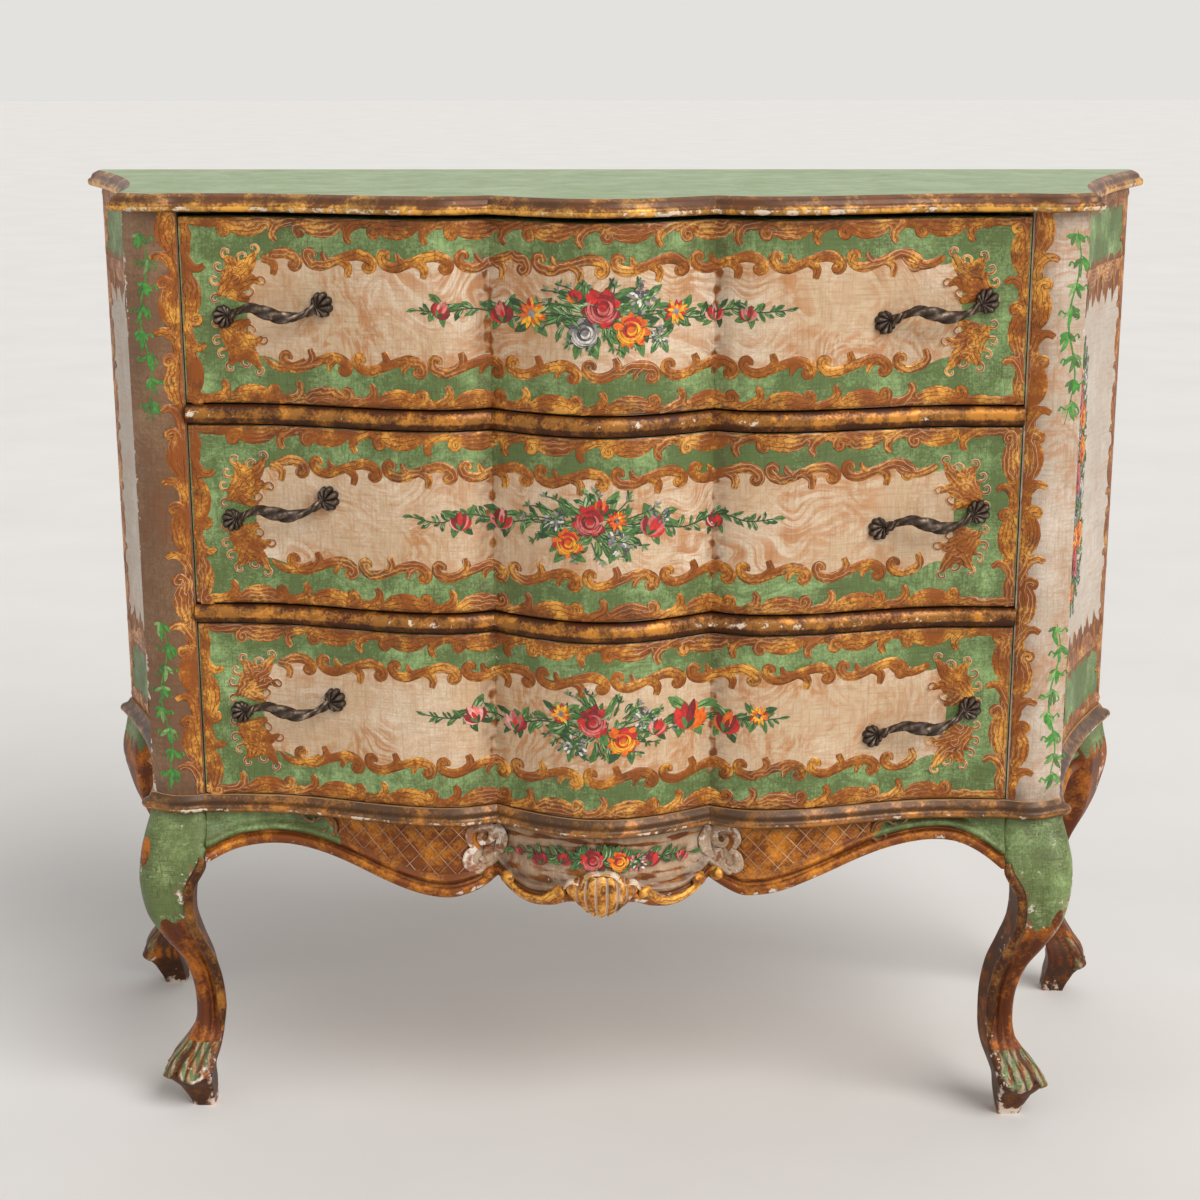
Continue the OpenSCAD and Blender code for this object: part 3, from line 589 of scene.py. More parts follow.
TENDRILS = tuple(Stroke(path, (1.7, 1.7, 1.5, 1.4, 1.3), 0.8, 1.0) for path in (
    ((42, 46), (38.5, 50), (40, 54.5), (44, 54), (44, 51)), ((40, 35), (34, 35.5), (31.5, 39), (33.5, 42.5), (37, 41)),
    ((36, 24), (30, 23.5), (27.5, 27), (29.5, 30.5), (33, 29)), ((36, 14), (30, 14.5), (27.5, 11), (30, 8), (33, 9.5)),
    ((53, 44), (53, 49), (57, 51.5), (60.5, 49.5), (59, 47)),
    ((69, 51), (72.5, 54.5), (70, 58.5), (66, 57.5), (66.5, 54.5)),
    ((69, 29), (74, 30.5), (77.5, 27.5), (76, 24), (73, 25)),
    ((58, 12), (63.5, 13.5), (66.5, 17.5), (64, 20.5), (61, 19)),
    ((42, 30), (48, 33), (54, 31), (54, 25), (50, 23.5)), ((47, 44), (51, 39), (57, 38.5), (59.5, 42), (57, 44)),
    ((42, 17), (47, 20), (53, 18), (54, 14), (51, 12.5)), ((60, 27), (62, 31.5), (67, 32), (68.5, 29), (66, 28)),
))
CLUSTER = BODY + TENDRILS
TAIL = Stroke(((-9, 33), (-2, 39), (7, 42.4), (20, 41), (31, 35.4)), (1.4, 3.6, 4.8, 4.6, 3.2), 0.6)


class Border:
    """A running gilt border of scrolls along one edge of a panel."""

    def __init__(self, brush: Brush, start: tuple[float, float], along: tuple[float, float],
                 inward: tuple[float, float], length: float) -> None:
        """Keeps the edge that the border follows.

        Args:
            brush: What lays the strokes.
            start: Where the edge starts, in the surface's u and v.
            along: Its direction.
            inward: The direction into the panel.
            length: Its length.
        """
        self.brush, self.length = brush, length
        self.start, self.along, self.inward = np.array(start), np.array(along), np.array(inward)

    def spot(self, s: float, flipped: bool, stretch: float, deep: float = 1.0) -> Spot:
        """The spot of a unit that starts at s along the edge and is deep times as deep as drawn.

        Args:
            s: Place along the edge.
            flipped: Whether the unit runs backwards.
            stretch: Length of the unit as a share of the drawn one.
            deep: Depth of the unit as a share of the drawn one.

        Returns:
            The spot.
        """
        run = -stretch if flipped else stretch
        u, v = self.start + (s + (UNIT * stretch if flipped else 0)) * self.along
        return Spot(u, v, tuple(run * self.along), tuple(deep * self.inward))

    def run(self, motif: Sequence[Stroke], count: int, flipped: bool = False, shift: float = 0.0, deep: float = 1.0,
            margin: float = 0.0) -> None:
        """Repeats a motif along the edge.

        Args:
            motif: The strokes of one unit.
            count: Number of units.
            flipped: Whether the units run the other way.
            shift: Where the first unit starts, as a share of a unit.
            deep: How much deeper than drawn it is.
            margin: Length left free at each end.
        """
        step = (self.length - 2 * margin) / count
        vary = self.brush.dice.uniform
        for i in range(count):
            s = margin + (i + shift) * step + vary(-1.2, 1.2)
            self.brush.motif(motif, self.spot(s, flipped, step / UNIT, deep * vary(0.94, 1.06)))

    def band(self, depth: float, **values: float) -> None:
        """Lays the plain strip that the scrolls grow from, with a wavering inner edge.

        Args:
            depth: Width of the strip.
            values: Its paint values.
        """
        s = np.linspace(0.6, self.length - 0.6, max(6, round(self.length / 3)))
        half = depth / 2 * (1 + 0.1 * np.sin(s / 5.3 + depth) + 0.07 * np.sin(s / 2.1))
        points = self.start + s[:, None] * self.along + (half + 0.4)[:, None] * self.inward
        self.brush.lay(points, half, 0.5, **{"pale": 0.0, "tone": 0.5, **values})


@dataclass(frozen=True)
class Pigments:
    """Colours of the painted flowers."""

    leaf_dark: Colour = srgb(44, 76, 36)
    leaf: Colour = srgb(78, 116, 56)
    leaf_light: Colour = srgb(122, 156, 90)
    leaf_pale: Colour = srgb(160, 182, 134)
    vine: Colour = srgb(70, 140, 52)
    rose: Colour = srgb(192, 40, 34)
    rose_dark: Colour = srgb(130, 28, 32)
    pink: Colour = srgb(206, 108, 100)
    pink_pale: Colour = srgb(216, 150, 138)
    amber: Colour = srgb(230, 104, 24)
    yellow: Colour = srgb(244, 172, 40)
    grey: Colour = srgb(138, 132, 128)
    grey_dark: Colour = srgb(80, 76, 80)
    white: Colour = srgb(214, 206, 194)

    @property
    def red_rose(self) -> tuple[Colour, Colour, Colour]:
        """The dark, middle and light colour of a red rose."""
        return self.rose_dark, self.rose, self.pink

    @property
    def amber_rose(self) -> tuple[Colour, Colour, Colour]:
        """The dark, middle and light colour of an amber rose."""
        return self.rose, self.amber, self.yellow

    @property
    def grey_rose(self) -> tuple[Colour, Colour, Colour]:
        """The dark, middle and light colour of a grey rose."""
        return self.grey_dark, self.grey, self.white


class Bloom(Enum):
    """Kinds of painted blossom."""

    ROSE = "rose"
    AMBER_ROSE = "amber_rose"
    GREY_ROSE = "grey_rose"
    DAISY = "daisy"
    RUFFLE = "ruffle"
    BUD = "bud"
    TULIP = "tulip"


@dataclass(frozen=True)
class Blossom:
    """A blossom of a spray: its kind, its place from the spray's middle, its radius and its turn."""

    kind: Bloom
    x: float
    z: float
    radius: float
    turn: float = 90.0


class FlowerPainter:
    """Paints flowers and leaves on a surface, stroke by stroke, as raised touches of paint."""

    coat = 0.02

    def __init__(self, piece: Piece, skin: Skin, seed: int) -> None:
        """Takes the piece, the surface and a seed.

        Args:
            piece: What the touches go into.
            skin: The surface that they lie on.
            seed: Start of its random draws.
        """
        self.brush, self.ink, self.layer = Brush(piece, skin, seed), Pigments(), 0.0
        self.brush.across, self.brush.dome = np.array([-1, -0.84, 0, 0.84, 1]), np.array([0, 1, 1, 1, 0.0])
        self.brush.taper = 0.01
        self.dice = self.brush.dice

    def touch(self, spine: Sequence[Sequence[float]], widths: Sequence[float], colour: Colour,
              steps: int = 3) -> None:
        """Lays one touch of paint, over those before it.

        Args:
            spine: Points of its middle line.
            widths: Half widths along it.
            colour: Its colour.
            steps: Samples for each span.
        """
        path, half = smooth_path(spine, widths, steps)
        self.layer += self.coat
        shade = self.dice.uniform(0.82, 1.18)
        self.brush.lay(path, half, 0.1 + self.layer, paint=np.array([min(1.0, c * shade) for c in colour[:3]] + [1.0]))

    def petal(self, x: float, z: float, turn: float, length: float, half: float, colour: Colour,
              bend: float = 0.0) -> None:
        """Lays a petal or a small leaf that grows from a place.

        Args:
            x: Where it starts.
            z: Where it starts.
            turn: Its direction in degrees.
            length: Its length.
            half: Its greatest half width.
            colour: Its colour.
            bend: How much it turns on its way, in degrees.
        """
        middle = around(x, z, length * 0.5, turn)
        self.touch([(x, z), middle, around(*middle, length * 0.5, turn + bend)],
                   (half * 0.35, half * 0.95, half, half * 0.15), colour)

    def leaf(self, x: float, z: float, turn: float, length: float) -> None:
        """Paints a leaf in two greens with a pale rib.

        Args:
            x: Where it starts.
            z: Where it starts.
            turn: Its direction in degrees.
            length: Its length.
        """
        ink, dice = self.ink, self.dice
        bend, wide = dice.uniform(-34, 34), length * dice.uniform(0.15, 0.23)
        self.layer = dice.uniform(0.0, 0.35)
        self.petal(x, z, turn, length, wide, dice.choice([ink.leaf, ink.leaf, ink.leaf_dark]), bend)
        for lean in (10, -12):
            self.petal(x, z, turn + lean, length * dice.uniform(0.6, 0.85), wide * 0.3,
                       dice.choice([ink.leaf_light, ink.leaf_pale, ink.leaf]), bend)
        self.petal(x, z, turn, length * 0.85, 0.4, ink.leaf_dark, bend)

    def rose(self, x: float, z: float, r: float, colours: Sequence[Colour]) -> None:
        """Paints a full rose: ruffled outer petals, turned arcs and a heart.

        Args:
            x: Its middle.
            z: Its middle.
            r: Its radius.
            colours: Its dark, middle and light colours.
        """
        (dark, middle, light), vary = colours, self.dice.uniform
        first = vary(0, 60)
        self.layer = 0.75
        self.touch([(x - 0.3 * r, z), (x + 0.3 * r, z)], (0.5 * r, 0.8 * r, 0.82 * r, 0.8 * r, 0.5 * r), dark, 6)
        for i in range(10):
            turn = first + i * 36 + vary(-12, 12)
            self.petal(*around(x, z, 0.4 * r, turn), turn, r * vary(0.4, 0.72), r * 0.24,
                       self.dice.choice([dark, middle, middle]))
        self.touch([(x - 0.24 * r, z - 0.04 * r), (x + 0.18 * r, z - 0.04 * r)],
                   (0.4 * r, 0.6 * r, 0.62 * r, 0.6 * r, 0.4 * r), middle, 6)
        turned = vary(-25, 25)
        for radius, start, sweep, wide, colour in (
                (0.72, 170, 120, 0.1, light), (0.7, 300, 70, 0.08, light), (0.56, 190, 170, 0.1, light),
                (0.58, 20, 120, 0.12, dark), (0.42, 150, 150, 0.09, dark), (0.42, 320, 120, 0.1, light),
                (0.27, 200, 190, 0.1, light), (0.26, 40, 130, 0.1, dark), (0.1, 0, 200, 0.09, middle),
                (0.86, 200, 70, 0.045, light), (0.9, 300, 40, 0.04, dark)):
            turns, half = np.linspace(start + turned, start + turned + sweep, 5), r * wide
            self.touch([around(x, z, r * radius, turn) for turn in turns],
                       (half * 0.2, half, half * 0.9, half * 0.2), colour, 2)

    def daisy(self, x: float, z: float, r: float) -> None:
        """Paints a daisy-like flower in amber and yellow with a grey heart, of radius r.

        Args:
            x: Place across.
            z: Place up.
            r: Its radius.
        """
        ink, dice = self.ink, self.dice
        self.layer = 0.5
        for share, count, colours in ((1.0, 13, [ink.amber, ink.rose, ink.yellow]), (0.7, 9, [ink.yellow, ink.amber])):
            for i in range(count):
                turn, colour = 360 * i / count + dice.uniform(-9, 9), dice.choice(colours)
                self.petal(x, z, turn, r * share * dice.uniform(0.85, 1.08), r * 0.15, colour)
        for i in range(4):
            self.petal(x, z, 90 * i + 20, r * 0.3, r * 0.14, dice.choice([ink.grey, ink.grey_dark]))

    def ruffle(self, x: float, z: float, r: float, colours: Sequence[Colour]) -> None:
        """Paints a loose ruffled flower of radius r from many short touches in those colours.

        Args:
            x: Place across.
            z: Place up.
            r: Its radius.
            colours: Colours to draw from.
        """
        self.layer, vary = 0.45, self.dice.uniform
        for _ in range(int(14 + r)):
            turn, far = vary(0, 360), r * math.sqrt(self.dice.random()) * 0.8
            self.petal(*around(x, z, far, turn), turn + vary(-50, 50), r * 0.42, r * 0.13, self.dice.choice(colours))

    def tulip(self, x: float, z: float, r: float, turn: float, colours: Sequence[Colour]) -> None:
        """Paints a bud or tulip of radius r whose petals fan out along turn, with a green foot.

        Args:
            x: Place across.
            z: Place up.
            r: Its radius.
            turn: Where it points.
            colours: Colours to draw from.
        """
        foot = around(x, z, -r, turn)
        self.layer = 0.45
        for spread in (-58, 58, -38, 38, -18, 18, 0):
            self.petal(*foot, turn + spread + self.dice.uniform(-6, 6), r * (1.75 - 0.006 * abs(spread)), r * 0.28,
                       self.dice.choice(colours), -0.5 * spread)
        for lean, long, wide, colour in ((0, 1.1, 0.2, colours[1]), (30, 0.8, 0.16, self.ink.leaf),
                                         (-30, 0.7, 0.16, self.ink.leaf_dark)):
            self.petal(*foot, turn + lean, r * long, r * wide, colour)

    def blossom(self, blossom: Blossom, x: float, z: float) -> None:
        """Paints one blossom of a spray whose middle is at x and z.

        Args:
            blossom: Kind, size and place in the spray.
            x: Middle of the spray, across.
            z: Middle of the spray, up.
        """
        ink, kind, r = self.ink, blossom.kind, blossom.radius
        at = (x + blossom.x, z + blossom.z, r)
        roses = {Bloom.ROSE: ink.red_rose, Bloom.AMBER_ROSE: ink.amber_rose, Bloom.GREY_ROSE: ink.grey_rose}
        if kind in roses:
            self.rose(*at, roses[kind])
        elif kind is Bloom.DAISY:
            self.daisy(*at)
        elif kind is Bloom.RUFFLE:
            self.ruffle(*at, (ink.grey, ink.white, ink.grey_dark, ink.grey))
        elif kind is Bloom.BUD:
            self.tulip(*at, blossom.turn, (ink.pink, ink.rose, ink.rose_dark, ink.pink_pale))
        else:
            self.tulip(*at, blossom.turn, (ink.rose, ink.rose_dark, ink.rose, ink.amber))

    def stem(self, points: Sequence[Sequence[float]], leaves: int, size: float) -> None:
        """Paints a stem with leaves on both sides.

        Args:
            points: Points that the stem runs through.
            leaves: Number of leaves.
            size: Length of the leaves in the middle of the stem.
        """
        path, vary = spline(points, 6), self.dice.uniform
        self.layer = 0.36
        self.touch(points, (0.5, 0.7, 0.4), self.ink.leaf_dark, 6)
        for i in range(leaves):
            at = int((i + 0.5) / leaves * (len(path) - 2))
            lean = vary(28, 62) * (1 if i % 2 else -1)
            self.leaf(*path[at], self.heading(path[at], path[at + 1]) + lean,
                      size * vary(0.7, 1.2) * (1.15 - 0.5 * i / leaves))
        self.leaf(*path[-1], self.heading(path[-3], path[-1]), size * 0.8)

    @staticmethod
    def heading(a: np.ndarray, b: np.ndarray) -> float:
        """The direction from one place to another, in degrees."""
        return math.degrees(math.atan2(b[1] - a[1], b[0] - a[0]))

    def vine(self, x: float, start: float, end: float) -> None:
        """Paints a green vine that hangs down, with scrolled tendrils and lobed leaves.

        Args:
            x: Its middle line.
            start: Its upper end.
            end: Its lower end.
        """
        ink, vary, count = self.ink, self.dice.uniform, 9
        path = [(x + 4.5 * math.sin(i * 1.3) * (0.4 + 0.6 * (i > 0)), z) for i, z in enumerate(
            np.linspace(start, end, count))]
        self.layer = 0.0
        self.touch(path, (0.4, 0.9, 1.0, 0.8, 0.4), ink.vine, 5)
        for i, (bx, bz) in enumerate(path[:-1]):
            self.layer = 0.1
            side = 1 if i % 2 else -1
            if i % 2:
                self.touch([(bx, bz), (bx + side * 6, bz - 5), (bx + side * 9, bz - 12), (bx + side * 5, bz - 14)],
                           (0.4, 0.9, 0.8, 0.3), ink.vine)
            for lean, long in ((-75, 0.6), (-40, 0.9), (-5, 1.15), (35, 0.8)):
                self.petal(bx + side, bz - 3, -90 - side * (12 + lean) + vary(-12, 12), long * vary(12, 17),
                           vary(1.7, 2.6), self.dice.choice([ink.vine, ink.vine, ink.leaf, ink.leaf_light]),
                           vary(-30, 30))
            self.touch([(bx, bz - 6), (bx - side * 5, bz - 8), (bx - side * 9, bz - 5), (bx - side * 11, bz - 9)],
                       (0.4, 0.6, 0.7, 1.3), ink.vine)

    def small_spray(self, x: float, z: float, reach: float) -> None:
        """Paints the low spray of the apron.

        Args:
            x: Its middle.
            z: Its middle.
            reach: How far it reaches to each side.
        """
        ink, vary = self.ink, self.dice.uniform
        for side in (-1, 1):
            self.stem([(x, z), (x + side * 0.5 * reach, z + 2), (x + side * reach, z - 1)], 24, 14)
        for place, r in ((-0.72, 8), (-0.42, 7), (0.55, 9), (0.9, 6), (-0.95, 5)):
            self.tulip(x + place * reach, z + vary(-2, 2), r, vary(60, 120), (ink.rose, ink.rose_dark, ink.pink))
        self.ruffle(x + 0.4 * reach, z - 3, 9, (ink.grey, ink.white, ink.pink))
        for ring in range(18):
            a = 2 * math.pi * ring / 18
            self.leaf(x + 24 * math.cos(a), z + 7 * math.sin(a), math.degrees(a) + vary(-30, 30), 11)
        self.rose(x + 0.2 * reach, z, 11, ink.amber_rose)
        self.rose(x - 0.1 * reach, z + 1, 12.5, ink.red_rose)

    def spray(self, x: float, z: float, reach: float, blossoms: Sequence[Blossom]) -> None:
        """Paints a long spray: leafy stems to both sides, leaves round the middle, then the blossoms.

        Args:
            x: Its middle.
            z: Its middle.
            reach: How far the stems reach to each side.
            blossoms: The blossoms, from the back to the front.
        """
        ink, vary = self.ink, self.dice.uniform
        for side in (-1, 1):
            self.stem([(x + side * 6, z - 2)] + [
                (x + side * share * reach, z + up + vary(-2, 2))
                for share, up in ((0.3, 3), (0.5, -3), (0.7, 3), (0.85, -2), (1, 1))], int(reach / 4.2), 13.0)
        for ring, count in ((1.5, 19), (1.1, 17), (0.7, 12)):
            for i in range(count):
                a = 2 * math.pi * (i + vary(-0.3, 0.3)) / count
                turn = math.degrees(math.atan2(math.sin(a), 1.5 * math.cos(a)))
                self.leaf(x + ring * 25 * math.cos(a), z + ring * 12 * math.sin(a), turn + vary(-35, 35), vary(10, 19))
        for i in range(16):
            a = 2 * math.pi * (i + vary(-0.4, 0.4)) / 16
            near, far = vary(0.7, 0.9), vary(1.15, 1.5)
            path = [(x + wide * math.cos(a + lean), z + tall * math.sin(a + lean)) for wide, tall, lean in (
                (34 * near, 18 * near, 0), (38 * far, 20 * far, 0.12), (44 * far, 23 * far, 0.2))]
            self.layer = 0.36
            self.touch(path, (0.5, 0.6, 0.4), ink.leaf_dark, 4)
            for place in path[1:]:
                for lean in (-45, 0, 45):
                    self.petal(*place, math.degrees(a) + lean, vary(4, 6.5), 1.0, self.dice.choice([
                        ink.leaf, ink.leaf_dark, ink.leaf_light, ink.grey]))
        for blossom in blossoms:
            for lean in (-60, 60, 150, 210):
                self.leaf(x + blossom.x, z + blossom.z, blossom.turn + lean, blossom.radius * 1.35 + 5)
        for blossom in blossoms:
            self.blossom(blossom, x, z)


class Tree:
    """Short calls that build a shader tree."""

    def __init__(self, tree: bpy.types.NodeTree) -> None:
        """Takes the tree to build in."""
        self.tree = tree

    def feed(self, node: bpy.types.Node, inputs: dict) -> None:
        """Sets or links inputs of a node, by number or by name, where an underscore stands for a space.

        Args:
            node: The node.
            inputs: Values or outputs by input.
        """
        for key, value in inputs.items():
            socket = node.inputs[key.replace("_", " ") if isinstance(key, str) else key]
            if isinstance(value, Flow):
                self.tree.links.new(value.socket, socket)
            else:
                socket.default_value = value

    def add(self, kind: str, inputs: dict | None = None, out: int | str = 0, **settings: object) -> "Flow":
        """Adds a node, sets its options and sets or links its inputs.

        Args:
            kind: Kind of the node, without its usual prefix.
            inputs: Values or flows, by input name or number.
            out: The output that is used.
            settings: Options of the node.

        Returns:
            That output.
        """
        node = self.tree.nodes.new("ShaderNode" + kind)
        for key, value in settings.items():
            setattr(node, key, value)
        self.feed(node, inputs or {})
        return Flow(self, node.outputs[out])

    def math(self, operation: str, a: "Feed", b: "Feed" = 0.0) -> "Flow":
        """Joins two numbers with a math operation."""
        return self.add("Math", {0: a, 1: b}, operation=operation)

    def mix(self, share: "Feed", a: "Feed", b: "Feed", how: str = "MIX") -> "Flow":
        """Blends two colours by a share."""
        return self.add("Mix", {0: share, 6: a, 7: b}, 2, data_type="RGBA", blend_type=how)

    def value(self, name: str) -> "Flow":
        """A paint value of the mesh."""
        return self.add("Attribute", out="Fac", attribute_name=name)

    def place(self) -> "Flow":
        """The place on the piece, in its own frame."""
        return self.add("TexCoord", out="Object")

    def relief(self, height: "Feed", strength: float, distance: float) -> "Flow":
        """The normal of a fine relief, whose distance is in metres."""
        return self.add("Bump", {"Height": height, "Strength": strength, "Distance": distance})

    def group(self, effect: bpy.types.NodeTree, **inputs: "Feed") -> "Flow":
        """Places an effect group and gives its first output.

        Args:
            effect: The group.
            inputs: Its inputs.

        Returns:
            Its first output.
        """
        node = self.tree.nodes.new("ShaderNodeGroup")
        node.node_tree = effect
        self.feed(node, inputs)
        return Flow(self, node.outputs[0])


class Flow:
    """An output in a shader tree, which sums and products are written with."""

    def __init__(self, tree: Tree, socket: bpy.types.NodeSocket) -> None:
        """Takes the tree and the output."""
        self.tree, self.socket = tree, socket

    def __getitem__(self, name: str) -> "Flow":
        """Another output of the same node."""
        return Flow(self.tree, self.socket.node.outputs[name])

    def __add__(self, other: "Feed") -> "Flow":
        """The sum."""
        return self.tree.math("ADD", self, other)

    def __sub__(self, other: "Feed") -> "Flow":
        """What is left without the other."""
        return self.tree.math("SUBTRACT", self, other)

    def __rsub__(self, other: float) -> "Flow":
        """What is left of a number."""
        return self.tree.math("SUBTRACT", other, self)

    def __mul__(self, other: "Feed") -> "Flow":
        """The product."""
        return self.tree.math("MULTIPLY", self, other)

    def clamped(self) -> "Flow":
        """The same number, held between 0 and 1."""
        self.socket.node.use_clamp = True
        return self

    def most(self, other: "Feed") -> "Flow":
        """The greater of the two."""
        return self.tree.math("MAXIMUM", self, other)

    def least(self, other: "Feed") -> "Flow":
        """The smaller of the two."""
        return self.tree.math("MINIMUM", self, other)

    def span(self, low: float, high: float, to_low: float = 0.0, to_high: float = 1.0) -> "Flow":
        """The number mapped from one span to another, clamped."""
        return self.tree.add("MapRange", {0: self, 1: low, 2: high, 3: to_low, 4: to_high})

    def blend(self, share: "Feed", other: "Feed", how: str = "MIX") -> "Flow":
        """This colour with a share of another."""
        return self.tree.mix(share, self, other, how)

    def scaled(self, by: "Feed") -> "Flow":
        """This colour made lighter or darker."""
        return self.tree.add("VectorMath", {0: self, "Scale": by}, operation="SCALE")

    def stretched(self, by: "Feed") -> "Flow":
        """This place scaled along each axis."""
        return self.tree.add("VectorMath", {0: self, 1: by}, operation="MULTIPLY")

    def noise(self, scale: "Feed", detail: float = 4.0, rough: float = 0.55, warp: float = 0.0) -> "Flow":
        """Noise at this place."""
        return self.tree.add("TexNoise", {"Vector": self, "Scale": scale, "Detail": detail, "Roughness": rough,
                                          "Distortion": warp})


Feed = Flow | float | tuple[float, ...]


class Effect(Tree):
    """The tree of an effect group."""

    def __init__(self, name: str, inputs: dict[str, float | Colour], outputs: Sequence[str]) -> None:
        """Starts the group.

        Args:
            name: Name of the effect.
            inputs: Names and usual values of the inputs, where four numbers make a colour.
            outputs: Names of the outputs, where a name that ends in colour is one.
        """
        super().__init__(bpy.data.node_groups.new(name, "ShaderNodeTree"))
        sockets = [(key, "INPUT", isinstance(value, tuple)) for key, value in inputs.items()]
        for key, way, coloured in sockets + [(key, "OUTPUT", key.endswith("colour")) for key in outputs]:
            kind = "NodeSocketColor" if coloured else "NodeSocketFloat"
            socket = self.tree.interface.new_socket(name=key, in_out=way, socket_type=kind)
            if key in inputs:
                socket.default_value = inputs[key]
        self.given = Flow(self, self.tree.nodes.new("NodeGroupInput").outputs[0])

    def close(self, **outputs: Flow) -> bpy.types.NodeTree:
        """Links the outputs and gives the group."""
        self.feed(self.tree.nodes.new("NodeGroupOutput"), outputs)
        return self.tree


class Coat(Tree):
    """The tree of a material."""

    def __init__(self, name: str) -> None:
        """Starts a material of that name.

        Args:
            name: Name of the material.
        """
        self.material = bpy.data.materials.new(name)
        self.material.use_nodes = True
        super().__init__(self.material.node_tree)

    def close(self, **inputs: Feed) -> bpy.types.Material:
        """Links or sets inputs of the main shader and gives the material."""
        self.feed(self.tree.nodes["Principled BSDF"], inputs)
        return self.material


class Effects:
    """The effects that several finishes share, each built once."""

    def __init__(self) -> None:
        """Builds the groups."""
        self.mottle, self.crackle, self.chips = self.make_mottle(), self.make_crackle(), self.make_chips()
        self.streaks, self.grain = self.make_streaks(), self.make_grain()

    @staticmethod
    def make_mottle() -> bpy.types.NodeTree:
        """Cloudy change between a light and a dark colour, with fine specks.

        Returns:
            The group.
        """
        tree = Effect("Mottle", {"Light": srgb(200, 200, 200), "Dark": srgb(90, 90, 90), "Scale": 12.0,
                                 "Dark share": 0.5}, ["Mixed colour", "Cloud"])
        place, given = tree.place(), tree.given
        cloud = place.noise(given["Scale"], 6, 0.68) + (place.noise(420, 2) - 0.5) * 0.3
        share = ((cloud - (0.78 - (1.0 - given["Dark share"]) * 0.56)) * 3.4).clamped()
        return tree.close(Mixed_colour=tree.mix(share, given["Dark"], given["Light"]), Cloud=cloud)

    @staticmethod
    def make_crackle() -> bpy.types.NodeTree:
        """Fine lines across and along, and the threads of the cloth under the paint.

        Returns:
            The group.
        """
        tree = Effect("Crackle", {"Amount": 0.5}, ["Lines", "Weave"])
        place = tree.place()
        across, up = (place.stretched(by).noise(1, 3).span(0.55, 0.64) for by in ((70, 70, 900), (900, 900, 70)))
        warp, weft = (place.stretched(by).noise(1, 2) for by in ((540, 540, 36), (36, 36, 540)))
        lines = across.most(up) * place.noise(26, 4).span(0.33, 0.62) * tree.given["Amount"]
        return tree.close(Lines=lines, Weave=warp.most(weft).span(0.5, 0.66))

    @staticmethod
    def make_chips() -> bpy.types.NodeTree:
        """Ragged flakes whose share of the surface follows an amount.

        Returns:
            The group.
        """
        tree = Effect("Chips", {"Amount": 0.2, "Scale": 90.0}, ["Flakes"])
        place, given = tree.place(), tree.given
        ragged = place.noise(given["Scale"], 5, 0.7) * 0.62 + place.noise(19, 3) * 0.38
        return tree.close(Flakes=((ragged - (0.74 - given["Amount"] * 0.36)) * 34.0).clamped())

    @staticmethod
    def make_streaks() -> bpy.types.NodeTree:
        """Wandering brush marks.

        Returns:
            The group.
        """
        tree = Effect("Streaks", {"Scale": 1.0}, ["Marks", "Patches"])
        place = tree.place()
        moved = place.stretched(tree.given["Scale"])
        wander = moved.noise(9, 2, 0.5)["Color"]
        warped = tree.add("VectorMath", {0: wander, 1: (0.2, 0.2, 0.2), 2: moved}, operation="MULTIPLY_ADD")
        flat = warped.stretched((22, 22, 170)).noise(1, 5, 0.62)
        upright = warped.stretched((130, 130, 24)).noise(1, 4, 0.62)
        choose = place.noise(9, 2).span(0.42, 0.58)
        return tree.close(Marks=flat * choose + upright * (1.0 - choose),
                          Patches=moved.noise(11, 3, 0.5, 1.2).span(0.38, 0.6))

    @staticmethod
    def make_grain() -> bpy.types.NodeTree:
        """Wood grain along one axis.

        Returns:
            The group.
        """
        tree = Effect("Grain", {"Light": srgb(212, 170, 118), "Dark": srgb(150, 104, 62), "Run x": 1.0, "Run y": 1.0,
                                "Run z": 1.0}, ["Wood colour", "Ridges"])
        given = tree.given
        runs = tree.add("CombineXYZ", {number: given["Run " + axis] for number, axis in enumerate("xyz")})
        moved = tree.place().stretched(runs)
        rings = moved.noise(16, 5, 0.6, 1.6) * 0.75 + moved.stretched((9, 9, 9)).noise(26, 3, 0.7) * 0.3
        return tree.close(Wood_colour=tree.mix(rings.span(0.36, 0.68), given["Dark"], given["Light"]), Ridges=rings)


@dataclass(frozen=True)
class Finish:
    """A finish with the shared effects at hand."""

    effects: Effects

    def mottled(self, tree: Tree, light: Colour, dark: Colour, scale: float, share: float) -> Flow:
        """A colour that changes in clouds, with that share of the dark one."""
        return tree.group(self.effects.mottle, Light=light, Dark=dark, Scale=scale, Dark_share=share)

    def flakes(self, tree: Tree, amount: Feed, scale: float) -> Flow:
        """Where the coat has come off."""
        return tree.group(self.effects.chips, Amount=amount, Scale=scale)


